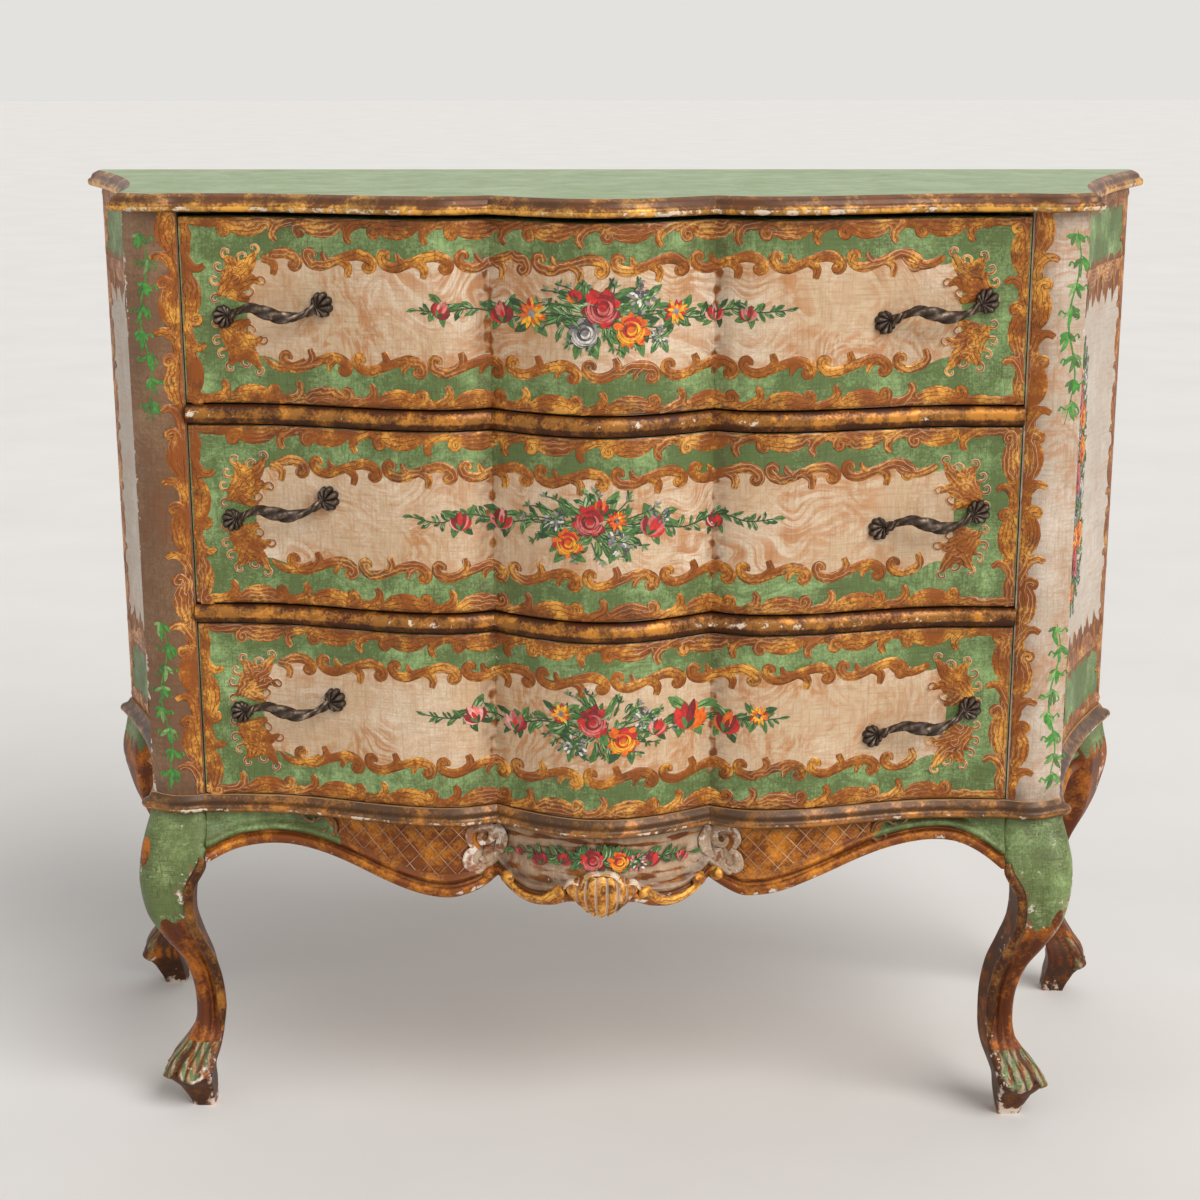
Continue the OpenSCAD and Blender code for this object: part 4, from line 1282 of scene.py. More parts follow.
@dataclass(frozen=True)
class GroundPaint(Finish):
    """Old paint on the case: green, with cream fields and gilt grounds where the mesh says so, darkened towards umber
    where the mesh asks, which along the creases of the drawer fronts is painted shade.
    """

    name: str = "painted_ground"
    green_light: Colour = srgb(170, 202, 134)
    green_dark: Colour = srgb(88, 108, 54)
    cream_light: Colour = srgb(236, 218, 194)
    cream_dark: Colour = srgb(205, 176, 141)
    tan: Colour = srgb(186, 122, 66)
    thread: Colour = srgb(196, 176, 150)
    gilt_light: Colour = srgb(214, 148, 66)
    gilt_dark: Colour = srgb(136, 74, 20)
    umber: Colour = srgb(72, 44, 20)
    gesso: Colour = srgb(228, 214, 198)
    clay: Colour = srgb(140, 82, 44)
    tan_share: float = 0.85
    gilt_share: float = 0.5
    chip_share: float = 0.13
    scratched: float = 0.6
    line_amount: float = 0.75

    def material(self) -> bpy.types.Material:
        """Builds the material.

        Returns:
            The material.
        """
        tree, fx = Coat(self.name), self.effects
        place = tree.place()
        wobble = (place.noise(55, 3) - 0.5) * 3.0
        in_cream, in_gilt = ((tree.value(field) + wobble).span(-0.35, 0.35) for field in ("cream", "gilt"))
        marks = tree.group(fx.streaks, Scale=1.0)
        green = self.mottled(tree, self.green_light, self.green_dark, 15.0, 0.42)
        green = green.blend(marks.span(0.48, 0.62, 0.0, 0.6), self.green_dark)
        tan = marks["Patches"].most(0.25) * marks.span(0.42, 0.56)
        cream = self.mottled(tree, self.cream_light, self.cream_dark, 9.0, 0.42).blend(tan * self.tan_share, self.tan)
        gilt = self.mottled(tree, self.gilt_light, self.gilt_dark, 34.0, self.gilt_share)
        lines = tree.group(fx.crackle, Amount=self.line_amount)
        colour = green.blend(in_cream, cream).blend(lines["Weave"] * 0.32, self.thread, "MULTIPLY")
        colour = colour.blend(lines * in_cream.span(0.0, 1.0, self.scratched, 0.3 * self.scratched), self.umber)
        # Darkening towards umber: real umber in the gilt flames and on the inner faces of the legs, painted shade along
        # the creases of the drawer fronts.
        grime = tree.value("grime") * place.noise(48, 4).span(0.3, 0.6, 0.35, 1.0)
        colour = colour.blend(in_gilt, gilt).blend(grime.least(0.9), self.umber)
        flakes = self.flakes(tree, tree.value("worn") + self.chip_share, 120.0)
        under = tree.mix(place.noise(75, 2).span(0.45, 0.56), self.gesso, self.clay)
        height = marks * 0.5 - (lines * 0.35 + flakes * 0.6)
        return tree.close(Base_Color=colour.blend(flakes * 0.9, under), Normal=tree.relief(height, 0.35, 0.0006),
                          Roughness=gilt["Cloud"].span(0.3, 0.7, 0.42, 0.62), Metallic=in_gilt * 0.4)


@dataclass(frozen=True)
class Gilding(Finish):
    """Rubbed gilding over red clay, with umber in the hollows, engraved lines and white chips, and painted highlight
    and painted shade where the mesh asks.
    """

    name: str = "gilding"
    bright: Colour = srgb(250, 184, 78)
    gilt: Colour = srgb(206, 132, 42)
    clay: Colour = srgb(142, 74, 12)
    umber: Colour = srgb(76, 42, 12)
    gesso: Colour = srgb(226, 208, 184)
    umber_share: float = 0.26
    clay_share: float = 0.36
    engraved: float = 0.9
    chip_share: float = 0.06
    metal: float = 0.3

    def material(self) -> bpy.types.Material:
        """Builds the material.

        Returns:
            The material.
        """
        tree = Coat(self.name)
        place, worn = tree.place(), tree.value("worn")
        ground = self.mottled(tree, self.gilt, self.clay, 42.0, self.clay_share)
        cloud = ground["Cloud"]
        # Brighter gold in clouds and where the mesh marks rubbing, which on the rail noses and the shell ribs is a
        # painted highlight as well as wear.
        colour = ground.blend((cloud + worn * 0.22).span(0.52, 0.72) * 0.8, self.bright)
        colour = colour.blend(self.flakes(tree, self.umber_share + 0.25, 60.0) * 0.45, self.umber)
        wave = tree.math("SINE", tree.value("vein") * 1.5 + place.noise(60, 1, 0.5, 0.8) * 13.0)
        cut = wave.span(0.78, 0.97) * (place.noise(21, 2).span(0.34, 0.48) * self.engraved)
        chalk = wave.span(-0.99, -0.9, 1.0, 0.0) * (place.noise(13, 2).span(0.5, 0.6) * self.engraved)
        colour = colour.blend(cut * 0.85, self.umber).blend(chalk * 0.6, self.gesso)
        pale = (tree.value("pale") + place.noise(24, 2).span(0.52, 0.6, 0.0, 0.45)).clamped()
        rim = tree.value("edge").span(0.35, 0.95, 1.0, 0.0)
        colour = colour.blend(rim * 0.8, tree.mix(pale, self.umber, self.gesso))
        # Darkening towards umber where the mesh asks, which under the rail noses is painted shade.
        grime = tree.value("grime") * place.noise(38, 4).span(0.3, 0.6, 0.45, 1.0)
        colour = colour.scaled(tree.value("tone").span(0.0, 1.0, 0.82, 1.16)).blend(grime.least(0.92), self.umber)
        flakes = self.flakes(tree, worn * 0.45 + self.chip_share, 110.0)
        height = cloud * 0.6 - (cut * 0.55 + flakes * 0.5)
        return tree.close(Base_Color=colour.blend(flakes * 0.92, self.gesso), Normal=tree.relief(height, 0.5, 0.0008),
                          Roughness=cloud.span(0.3, 0.75, 0.5, 0.3), Metallic=(1.0 - flakes) * self.metal)


@dataclass(frozen=True)
class FlowerPaint(Finish):
    """Touches of oil colour, each in the colour that the mesh says."""

    name: str = "flower_paint"
    dust: Colour = srgb(206, 182, 150)

    def material(self) -> bpy.types.Material:
        """Builds the material.

        Returns:
            The material.
        """
        tree = Coat(self.name)
        place = tree.place()
        shade = place.noise(260, 3).span(0.3, 0.7, 0.66, 1.3) * tree.value("edge").span(0.0, 0.7, 0.6, 1.0)
        colour = tree.add("Attribute", out="Color", attribute_name="paint").scaled(shade)
        return tree.close(Base_Color=colour.blend(self.flakes(tree, 0.25, 190.0) * 0.75, self.dust),
                          Normal=tree.relief(place.noise(500, 3), 0.3, 0.0005),
                          Roughness=place.noise(90, 2).span(0.3, 0.7, 0.42, 0.6))


@dataclass(frozen=True)
class BareWood(Finish):
    """Unpainted softwood with grain along one axis."""

    name: str = "bare_wood"
    light: Colour = srgb(206, 166, 116)
    dark: Colour = srgb(150, 106, 66)
    runs: tuple[float, float, float] = (0.08, 1.0, 1.0)

    def material(self) -> bpy.types.Material:
        """Builds the material.

        Returns:
            The material.
        """
        tree = Coat(self.name)
        x, y, z = self.runs
        wood = tree.group(self.effects.grain, Light=self.light, Dark=self.dark, Run_x=x, Run_y=y, Run_z=z)
        ridges, stain = wood["Ridges"], tree.place().noise(7, 4).span(0.35, 0.75, 0.0, 0.5)
        return tree.close(Base_Color=wood.blend(stain, self.dark), Normal=tree.relief(ridges, 0.4, 0.0006),
                          Roughness=ridges.span(0.3, 0.8, 0.72, 0.58))


@dataclass(frozen=True)
class DarkBronze(Finish):
    """Cast metal with a dark patina, rubbed on its high places, which also carry a painted highlight, and darker in its
    grooves, which is patina and painted shade.
    """

    name: str = "dark_bronze"
    patina: Colour = srgb(66, 52, 42)
    rubbed_highlight: Colour = srgb(172, 150, 128)
    soot_and_shade: Colour = srgb(20, 16, 14)

    def material(self) -> bpy.types.Material:
        """Builds the material.

        Returns:
            The material.
        """
        tree = Coat(self.name)
        place = tree.place()
        cloud = place.noise(130, 5, 0.65)
        # Lighter rubbed metal on the crests where the mesh asks: wear and a painted highlight.
        colour = tree.mix(cloud.span(0.45, 0.7) * tree.value("worn"), self.patina, self.rubbed_highlight)
        # Darker in the grooves: patina and painted shade.
        return tree.close(Base_Color=colour.blend(tree.value("grime") * 0.8, self.soot_and_shade), Metallic=0.6,
                          Normal=tree.relief(place.noise(700, 3), 0.35, 0.0005),
                          Roughness=cloud.span(0.35, 0.7, 0.52, 0.36))


@dataclass(frozen=True)
class ScrewSteel(Finish):
    """Dull steel of the screws."""

    name: str = "screw_steel"
    light: Colour = srgb(150, 150, 150)
    dark: Colour = srgb(96, 88, 80)

    def material(self) -> bpy.types.Material:
        """Builds the material.

        Returns:
            The material.
        """
        tree = Coat(self.name)
        cloud = tree.place().noise(300, 4)
        return tree.close(Base_Color=tree.mix(cloud.span(0.4, 0.7), self.light, self.dark), Metallic=0.9,
                          Roughness=cloud.span(0.3, 0.7, 0.35, 0.55))


class Finishes:
    """All materials of the commode."""

    def __init__(self) -> None:
        """Builds them from the shared effects."""
        fx = Effects()
        self.case = GroundPaint(fx).material()
        self.stile = GroundPaint(
            fx, "painted_stile", cream_light=srgb(228, 214, 198), cream_dark=srgb(192, 172, 150),
            tan_share=0.55).material()
        # A darker copy of the stile paint, for the left stile: painted shade on the side away from the key lamp.
        self.stile_shaded = GroundPaint(
            fx, "painted_stile_shaded", cream_light=srgb(170, 136, 102), cream_dark=srgb(116, 84, 56),
            tan=srgb(120, 74, 40), tan_share=0.8).material()
        self.side = GroundPaint(
            fx, "painted_side", cream_light=srgb(220, 210, 197), cream_dark=srgb(196, 183, 168), tan_share=0.25,
            chip_share=0.02, scratched=0.3).material()
        self.apron = GroundPaint(
            fx, "painted_apron", gilt_light=srgb(228, 146, 42), gilt_dark=srgb(118, 58, 6), gilt_share=0.42,
            cream_light=srgb(226, 212, 194), cream_dark=srgb(186, 156, 124), tan=srgb(120, 62, 22), tan_share=1.0,
            chip_share=0.18).material()
        self.top = GroundPaint(
            fx, "painted_top", green_light=srgb(166, 180, 144), green_dark=srgb(138, 158, 114), chip_share=0.04,
            scratched=0.25).material()
        self.legs = GroundPaint(
            fx, "painted_legs", green_light=srgb(168, 194, 126), green_dark=srgb(94, 110, 58), umber=srgb(58, 34, 14),
            gilt_light=srgb(216, 126, 28), gilt_dark=srgb(96, 42, 2), gilt_share=0.42, cream_light=srgb(206, 196, 168),
            cream_dark=srgb(160, 150, 120), chip_share=0.22, scratched=0.8, line_amount=0.9).material()
        self.gilding = Gilding(fx).material()
        plain = {"clay_share": 0.42, "engraved": 0.0}
        self.moulding = Gilding(
            fx, "gilt_moulding", gilt=srgb(172, 108, 38), clay=srgb(116, 64, 20), umber=srgb(70, 42, 20),
            umber_share=0.44, chip_share=0.12, **plain).material()
        self.waist = Gilding(
            fx, "umber_moulding", gilt=srgb(138, 92, 44), clay=srgb(86, 54, 26), bright=srgb(196, 126, 50),
            umber=srgb(64, 48, 34), umber_share=0.52, chip_share=0.14, **plain).material()
        self.rail = Gilding(
            fx, "gilt_rail", gilt=srgb(138, 78, 16), clay=srgb(84, 38, 4), bright=srgb(214, 142, 54),
            umber=srgb(48, 24, 4), umber_share=0.5, chip_share=0.1, metal=0.45, **plain).material()
        self.flowers = FlowerPaint(fx).material()
        deep, planed = (1.0, 0.08, 1.0), srgb(214, 176, 126)
        self.inner = BareWood(fx, "inner_wood").material()
        self.inner_deep = BareWood(fx, "inner_wood_deep", runs=deep).material()
        self.inner_up = BareWood(fx, "inner_wood_upright", runs=(1.0, 1.0, 0.08)).material()
        self.drawer_deep = BareWood(fx, "drawer_wood_deep", light=planed, runs=deep).material()
        self.drawer_across = BareWood(fx, "drawer_wood_across", light=planed).material()
        self.bronze = DarkBronze(fx).material()
        self.steel = ScrewSteel(fx).material()


FRONT = FrontPlan()
SIDES = SidePlan()


@dataclass
class SidePart:
    """A part that stands on one side of the commode: 1 is the right and -1 the left."""

    side: int
    finishes: Finishes
    stem = "side"

    @property
    def name(self) -> str:
        """Name of the node."""
        return f"{self.stem}_{'right' if self.side > 0 else 'left'}"


@dataclass
class Top:
    """The flat painted board of the top."""

    finishes: Finishes
    flat_out: float = 2.0

    def build(self) -> None:
        """Builds the board."""
        low, high = node_box("top_board")
        line = SIDES.outline(self.flat_out, high.y)
        piece = Piece("top_board_painted")
        piece.grid(sheet(line[:, 0], line[:, 1], np.array([[low.z], [high.z]])), cream=-50.0, gilt=-50.0, worn=0.0)
        piece.build(Slot.TOP, [self.finishes.top], "top_board")


@dataclass
class Moulding:
    """A moulding round the front and the sides, on a profile of (share of the lip, less, share of the height)."""

    node: str
    worn_name: str
    height_of: str
    rear_of: str
    lip: float
    profile: Rows
    flat_out: float = 2.0

    def build(self, material: bpy.types.Material) -> None:
        """Builds the moulding as a closed strip.

        Args:
            material: Its finish.
        """
        low, high = node_box(self.height_of)
        rear, thick = node_box(self.rear_of)[1].y, high.z - low.z
        run = spline([(share * self.lip - less, tall * thick) for share, less, tall in self.profile], 4)
        top = float(run[:, 1].max())
        rows = np.vstack([[(self.flat_out, 0.0), (self.flat_out, top)], run[1:]])
        lines = np.stack([SIDES.outline(row[0], rear) for row in rows], 1)
        out = rows[:, 0] / rows[:, 0].max()
        piece = Piece(self.worn_name)
        piece.grid(sheet(lines[..., 0], lines[..., 1], low.z + rows[:, 1]), grime=0.8 * bump(out, 0.68, 0.13)[None],
                   worn=(0.5 * unit((out - 0.75) * 3.2) + 0.6 * (rows[:, 1] < 0.3 * top) * (out > 0.5))[None],
                   edge=50.0, vein=0.0, pale=0.0, tone=0.5)
        piece.build(Slot.GILDING, [material], self.node)


@dataclass
class Rail:
    """A rail between two drawers, with a half-round nose along the serpentine."""

    name: str
    finishes: Finishes
    lip: float = 7.0

    def build(self) -> None:
        """Builds the rail as a closed loft."""
        low, high = node_box(self.name)
        r, x, a = (high.z - low.z) / 2, FRONT.places(FRONT.half_opening, 6)[:, None], np.linspace(0, math.pi, 15)
        nose = sheet(x, FRONT.y(x) - self.lip * np.sin(a), low.z + r + r * np.cos(a))
        back = sheet(x, high.y, np.array([low.z, high.z]))
        # The front of the half-round nose is marked as rubbed, which brightens it as a painted highlight as well as
        # wear; its top and underside are darkened, more below, as painted shade.
        worn = np.concatenate([unit(1.4 * np.sin(a) - 0.65) * (a < 1.9), [0, 0]])
        grime = np.concatenate([unit(1 - 1.7 * np.sin(a)) + 0.3 * (a > 2.0), [0.2, 0.2]])
        piece = Piece(self.name + "_gilt")
        piece.grid(np.concatenate([nose, back], 1), worn=worn[None], grime=grime[None], edge=50.0, vein=0.0, pale=0.0,
                   tone=0.5)
        piece.build(Slot.GILDING, [self.finishes.rail], self.name)


SPRAYS: dict[int, tuple[Blossom, ...]] = {
    1: (Blossom(Bloom.BUD, 131, 0, 8, 80), Blossom(Bloom.BUD, 100, 0, 8.5, 95), Blossom(Bloom.BUD, -143, 3, 9, 60),
        Blossom(Bloom.BUD, -90, 1, 11, 100), Blossom(Bloom.DAISY, -62, 0, 14), Blossom(Bloom.DAISY, 66, 2, 11),
        Blossom(Bloom.TULIP, -24, 19, 7, 110), Blossom(Bloom.RUFFLE, 36, 14, 12), Blossom(Bloom.RUFFLE, 52, -20, 8),
        Blossom(Bloom.GREY_ROSE, -14, -15, 15), Blossom(Bloom.AMBER_ROSE, 27, -12, 16), Blossom(Bloom.ROSE, 2, 7, 18)),
    2: (Blossom(Bloom.BUD, 110, 0, 8, 100), Blossom(Bloom.RUFFLE, 62, 8, 8), Blossom(Bloom.BUD, -122, 0, 10, 90),
        Blossom(Bloom.BUD, -84, 2, 11, 80), Blossom(Bloom.BUD, 56, 2, 12, 60), Blossom(Bloom.RUFFLE, 24, -14, 12),
        Blossom(Bloom.RUFFLE, -34, 6, 10), Blossom(Bloom.TULIP, 8, 20, 8, 80), Blossom(Bloom.DAISY, 22, 6, 10),
        Blossom(Bloom.AMBER_ROSE, -22, -15, 14), Blossom(Bloom.ROSE, -2, 5, 16)),
    3: (Blossom(Bloom.BUD, -122, 4, 11, 120), Blossom(Bloom.DAISY, 146, 4, 10), Blossom(Bloom.TULIP, 118, -2, 13, 70),
        Blossom(Bloom.BUD, -82, 0, 11, 90), Blossom(Bloom.RUFFLE, -24, -16, 11), Blossom(Bloom.RUFFLE, 40, 8, 10),
        Blossom(Bloom.DAISY, -38, 12, 11), Blossom(Bloom.TULIP, 82, 8, 16, 80), Blossom(Bloom.BUD, 52, 0, 9, 70),
        Blossom(Bloom.AMBER_ROSE, 20, -12, 15), Blossom(Bloom.ROSE, -8, 6, 16)),
}


@dataclass
class DrawerFront:
    """A serpentine drawer front: the painted ground, its gilt scrolls and its spray of flowers."""

    number: int
    finishes: Finishes
    edge: float = 1.6
    field_in: float = 60.0
    field_wave: float = 5.0
    units: int = 11
    top_start: float = 0.66
    low_start: float = 0.3
    rim_start: float = 0.1
    low_line: float = 76.0

    def __post_init__(self) -> None:
        """Takes the sizes of the front from the frame."""
        self.node = f"drawer_{self.number}_front"
        low, high = node_box(self.node)
        self.low, self.high, self.half, self.back = low.z, high.z, high.x, high.y
        self.step, self.body = 2 * self.half / self.units, Body(f"drawer_{self.number}")

    def cream(self, x: np.ndarray, z: np.ndarray) -> np.ndarray:
        """How far a place lies inside the cream field (below zero: outside it).

        Args:
            x: Places across.
            z: Heights.

        Returns:
            The distance to the edge of the field at each place.
        """
        top_wave, low_wave = (self.field_wave * np.cos(2 * np.pi * ((x + self.half) / self.step - first - 0.71))
                              for first in (self.top_start, self.low_start))
        inside = np.minimum((self.high - 36.8 + top_wave) - z, z - (self.low + 39.2 + low_wave))
        return np.minimum(inside, self.half - self.field_in - np.abs(x))

    def ground(self) -> None:
        """Builds the front itself, flat behind and serpentine before, with eased edges."""
        across, a = FRONT.places(self.half, 4.5)[:, None], np.linspace(0, math.pi / 2, 4)[:-1]
        ease, rise = self.edge * (1 - np.sin(a)), self.edge * (1 - np.cos(a))
        middle = np.linspace(self.low + self.edge, self.high - self.edge, 42)
        face = sheet(across, FRONT.y(across) + np.concatenate([ease, 0 * middle, ease[::-1]]),
                     np.concatenate([self.low + rise, middle, self.high - rise[::-1]]))
        points = np.concatenate([face, sheet(across, self.back, np.array([self.high, self.low]))], 1)
        x, z = points[..., 0], points[..., 2]
        cream, off, rim = self.cream(x, z), np.abs(x) - FRONT.crease_x, np.minimum(z - self.low, self.high - z)
        streaks = 0.6 + 0.4 * np.sin(z / 3.1) * np.sin(z / 1.3 + x)
        grime = 0.5 * bump(rim, 0, 3) + 0.35 * bump(self.half - np.abs(x), 0, 4)
        # Darker streaked bands beside each crease of the front: painted shade where the surface folds.
        grime += streaks * (0.6 * bump(off, 7, 6) + 0.3 * bump(off, -5, 6))
        worn = 0.16 * bump(off, 0, 9) + 0.1 * bump(rim, 0, 7)
        if self.number == 3:
            worn += 0.5 * bump(x, -60, 46) * bump(z, self.high - 30, 16)
            worn += 0.2 * bump(x, 260, 110) * bump(z, self.high - 44, 12)
        line = 0.6 + 0.5 * np.sin(z / 2.3) - 0.32 * np.abs(off + 1.5 * np.sin(z / 7) - 2)
        piece = Piece(self.node + "_painted")
        piece.grid(points, cream=cream, gilt=np.where(cream > 2, line, -50.0), grime=grime, worn=worn)
        piece.build(Slot.DRAWERS, [self.finishes.case], self.node, self.body, crease=30)

    def gilding(self) -> None:
        """Lays the outer and inner scroll borders and the clusters beside the handles."""
        piece = Piece(self.node + "_gilding")
        brush = Brush(piece, FrontSkin(FRONT), 11 + self.number)
        top, bottom = (Border(brush, (-self.half, z), (1, 0), (0, way), 2 * self.half)
                       for z, way in ((self.high, -1), (self.low, 1)))
        brush.gather()
        # The strips along the edges are darkened a little: umber glaze and painted shade.
        for border in (top, bottom):
            border.band(9.0, grime=0.25)
        for side in (-1, 1):
            upright = Border(brush, (side * self.half, self.high), (0, -1), (-side, 0), self.high - self.low)
            upright.band(10.5, grime=0.2)
            upright.run(OUTER, 2, flipped=side < 0, margin=12, shift=0.04)
            for end in (-1, 1):
                brush.motif(CLUSTER, Spot(side * self.half, (self.high + self.low) / 2, (-side, 0), (
                    0, end * brush.dice.uniform(0.97, 1.03))), grime=0.0)
        stretch, last, base = self.step / UNIT, self.units - 3, self.low + self.low_line
        for i in range(self.units - 1):
            brush.motif(OUTER, top.spot((i + self.top_start) * self.step, False, stretch))
            brush.motif(OUTER, bottom.spot((i + self.rim_start) * self.step, True, stretch))
        for i in range(last + 1):
            brush.motif((VINE, *DROP) if i else (VINE_END, DROP[0]),
                        top.spot((i + self.top_start) * self.step, False, stretch))
            brush.motif((VINE_START, SPROUT[0]) if i == last else (VINE, *SPROUT),
                        Spot(-self.half + (i + 1 + self.low_start) * self.step, base, (stretch, 0)))
        for x, z in ((self.half - 108, self.high), (-self.half + 82, base)):
            brush.motif((TAIL,), Spot(x, z))
        brush.join()
        piece.build(Slot.DRAWERS, [self.finishes.gilding], body=self.body)

    def build(self) -> None:
        """Builds the front with all that is painted on it."""
        self.ground()
        self.gilding()
        piece = Piece(self.node + "_flowers")
        FlowerPainter(piece, FrontSkin(FRONT), 31 + self.number).spray(
            -8 if self.number == 2 else 0, (self.low + self.high) / 2 + 4, 165, SPRAYS[self.number])
        piece.build(Slot.DRAWERS, [self.finishes.flowers], body=self.body)


def side_bands(u: np.ndarray, z: np.ndarray, low: float, high: float) -> dict[str, np.ndarray]:
    """Where a side of the case is cream, gilt and green: a cream field between ragged gilt and green bands.

    Args:
        u: Places along the side.
        z: Heights.
        low: Lower end of the side.
        high: Upper end of the side.

    Returns:
        The cream, gilt, worn and grime values.
    """
    ragged = 7 * np.cos(u / 4.3) + 5 * np.cos(u / 1.9 + 1.3)
    from_end = np.minimum(high - z, z - low)
    cream = from_end - 104 - ragged
    band = np.minimum(from_end - 66 - 0.5 * ragged, -cream)
    rear = u - (SIDES.length - 11 + 0.45 * ragged)
    gilt = np.maximum(np.maximum(band, 17 + 0.5 * ragged - from_end), rear)
    return {"cream": cream, "gilt": gilt, "worn": 0.05 * np.ones_like(u), "grime": 0.35 * unit(gilt / 4)}


@dataclass
class Stile(SidePart):
    """A front stile: cream, with a gilt scroll border beside the drawers and green vines."""

    depth: float = 37.0
    border_units: int = 8
    vine_x: tuple[float, float] = (418.0, 425.0)
    vines: tuple[tuple[float, float], ...] = ((862.0, 688.0), (500.0, 334.0))
    stem = "stile"

    def ground(self, low: float, high: float) -> None:
        """Builds the stile itself.

        Args:
            low: Its lower end.
            high: Its upper end.
        """
        x = np.linspace(FRONT.half_opening, FRONT.corner_x, 26)
        t = np.linspace(0, self.depth / SIDES.length, 12)[1:]
        turn = SIDES.point(t)
        plan = np.vstack([np.stack([x, FRONT.y(x)], -1), turn, [[FRONT.half_opening, turn[-1, 1]]]])
        u, z = np.meshgrid(np.concatenate([0 * x - 1, t * SIDES.length, [-1]]), np.linspace(low, high, 150))
        across = np.concatenate([x, np.full(len(t) + 1, 500.0)])
        values = {k: np.where(u < 0, {"cream": 50.0, "gilt": -50.0}.get(k, 0.0), v)
                  for k, v in side_bands(u, z, low, high).items()}
        values["worn"] += 0.5 * bump(across, FRONT.corner_x, 3.0) + 0.16 * bump(z, low, 40)
        values["grime"] += (u < 0) * (0.55 * bump(across, FRONT.half_opening, 16) + 0.35 * bump(z, low, 16)
                                      + 0.3 * bump(z, high, 24))
        piece = Piece(self.name + "_painted")
        piece.grid(sheet(self.side * plan[:, 0], plan[:, 1], z), **values)
        # The left stile wears the darker copy of the paint, as painted shade.
        piece.build(Slot.CASE, [self.finishes.stile if self.side > 0 else self.finishes.stile_shaded], self.name)

    def build(self) -> None:
        """Builds the stile with its border and its vines."""
        low, high = node_box(self.name)
        self.ground(low.z, high.z)
        piece = Piece(self.name + "_gilding")
        brush = Brush(piece, FrontSkin(FRONT), 60 + self.side)
        edge = Border(brush, (self.side * (FRONT.half_opening + 0.4), high.z - 1), (0, -1), (self.side, 0),
                      high.z - low.z - 2)
        brush.gather()
        edge.band(9.0, grime=0.15)
        edge.run(OUTER, self.border_units, deep=1.08)
        brush.join()
        piece.build(Slot.CASE, [self.finishes.gilding])
        paint = Piece(self.name + "_vines")
        painter = FlowerPainter(paint, FrontSkin(FRONT), 70 + self.side)
        for start, end in self.vines:
            painter.vine(self.side * self.vine_x[(self.side + 1) // 2], start, end)
        paint.build(Slot.CASE, [self.finishes.flowers])


class TurnedSkin(Skin):
    """A surface turned a quarter about a place, so that what is drawn along it runs upwards."""

    def __init__(self, skin: Skin, u: float, v: float) -> None:
        """Takes the surface and the place it is turned about."""
        self.skin, self.u, self.v, self.handed = skin, u, v, skin.handed

    def place(self, u: np.ndarray, v: np.ndarray, lift: np.ndarray) -> np.ndarray:
        """The points at u up and v along the surface, lift above it."""
        return self.skin.place(self.u - self.handed * v, self.v + self.handed * u, lift)


@dataclass
class SidePanel(SidePart):
    """A flaring side: a cream field between green bands, ragged gilt flames and an upright spray."""

    thick: float = 18.0
    from_front: float = 37.0

    def build(self) -> None:
        """Builds the side with its paint."""
        low, high = node_box(self.name)
        t = np.linspace(self.from_front / SIDES.length, 1, 60)
        outer = SIDES.point(t)
        inner = outer - self.thick * np.stack([np.sqrt(1 + SIDES.slope(t) ** 2), 0 * t], -1)
        plan = np.vstack([outer, inner[::-1]])
        u, z = np.meshgrid(np.concatenate([t, t[::-1]]) * SIDES.length, np.linspace(low.z, high.z, 130))
        piece = Piece(self.name + "_painted")
        piece.grid(sheet(self.side * plan[:, 0], plan[:, 1], z), **side_bands(u, z, low.z, high.z))
        piece.build(Slot.CASE, [self.finishes.side], self.name)
        self.flames(low.z, high.z)
        paint = Piece(self.name + "_flowers")
        skin = TurnedSkin(SideSkin(SIDES, self.side), 0.56 * SIDES.length, (low.z + high.z) / 2)
        painter = FlowerPainter(paint, skin, 80 + self.side)
        for up, across, reach, number in ((82, 8, 52, 2), (-80, -8, 52, 3), (0, 0, 100, 1)):
            painter.spray(up, across, reach, [b for b in SPRAYS[number] if abs(b.x) < reach])
        paint.build(Slot.CASE, [self.finishes.flowers])

    def flames(self, low: float, high: float) -> None:
        """Lays the gilt flames between the green bands and the cream field.

        Args:
            low: Lower end of the side.
            high: Upper end of the side.
        """
        piece = Piece(self.name + "_gilding")
        brush = Brush(piece, SideSkin(SIDES, self.side), 90 + self.side)
        brush.gather()
        for edge, inward in ((high, -1), (low, 1)):
            for away, depth, motif, flipped, deep in (
                    (70, 12.0, OUTER, False, 1.5), (1.5, 9.0, (LOBE, HOOK), True, 0.8)):
                border = Border(brush, (2.0, edge + inward * away), (1, 0), (0, inward), SIDES.length - 6)
                border.band(depth)
                border.run(motif, 5, flipped=flipped, deep=deep)
        rear = Border(brush, (SIDES.length - 1.0, high - 14), (0, -1), (-1, 0), high - low - 28)
        rear.band(6.5)
        rear.run(OUTER, 8, deep=0.7)
        brush.join()
        piece.build(Slot.CASE, [self.finishes.gilding])


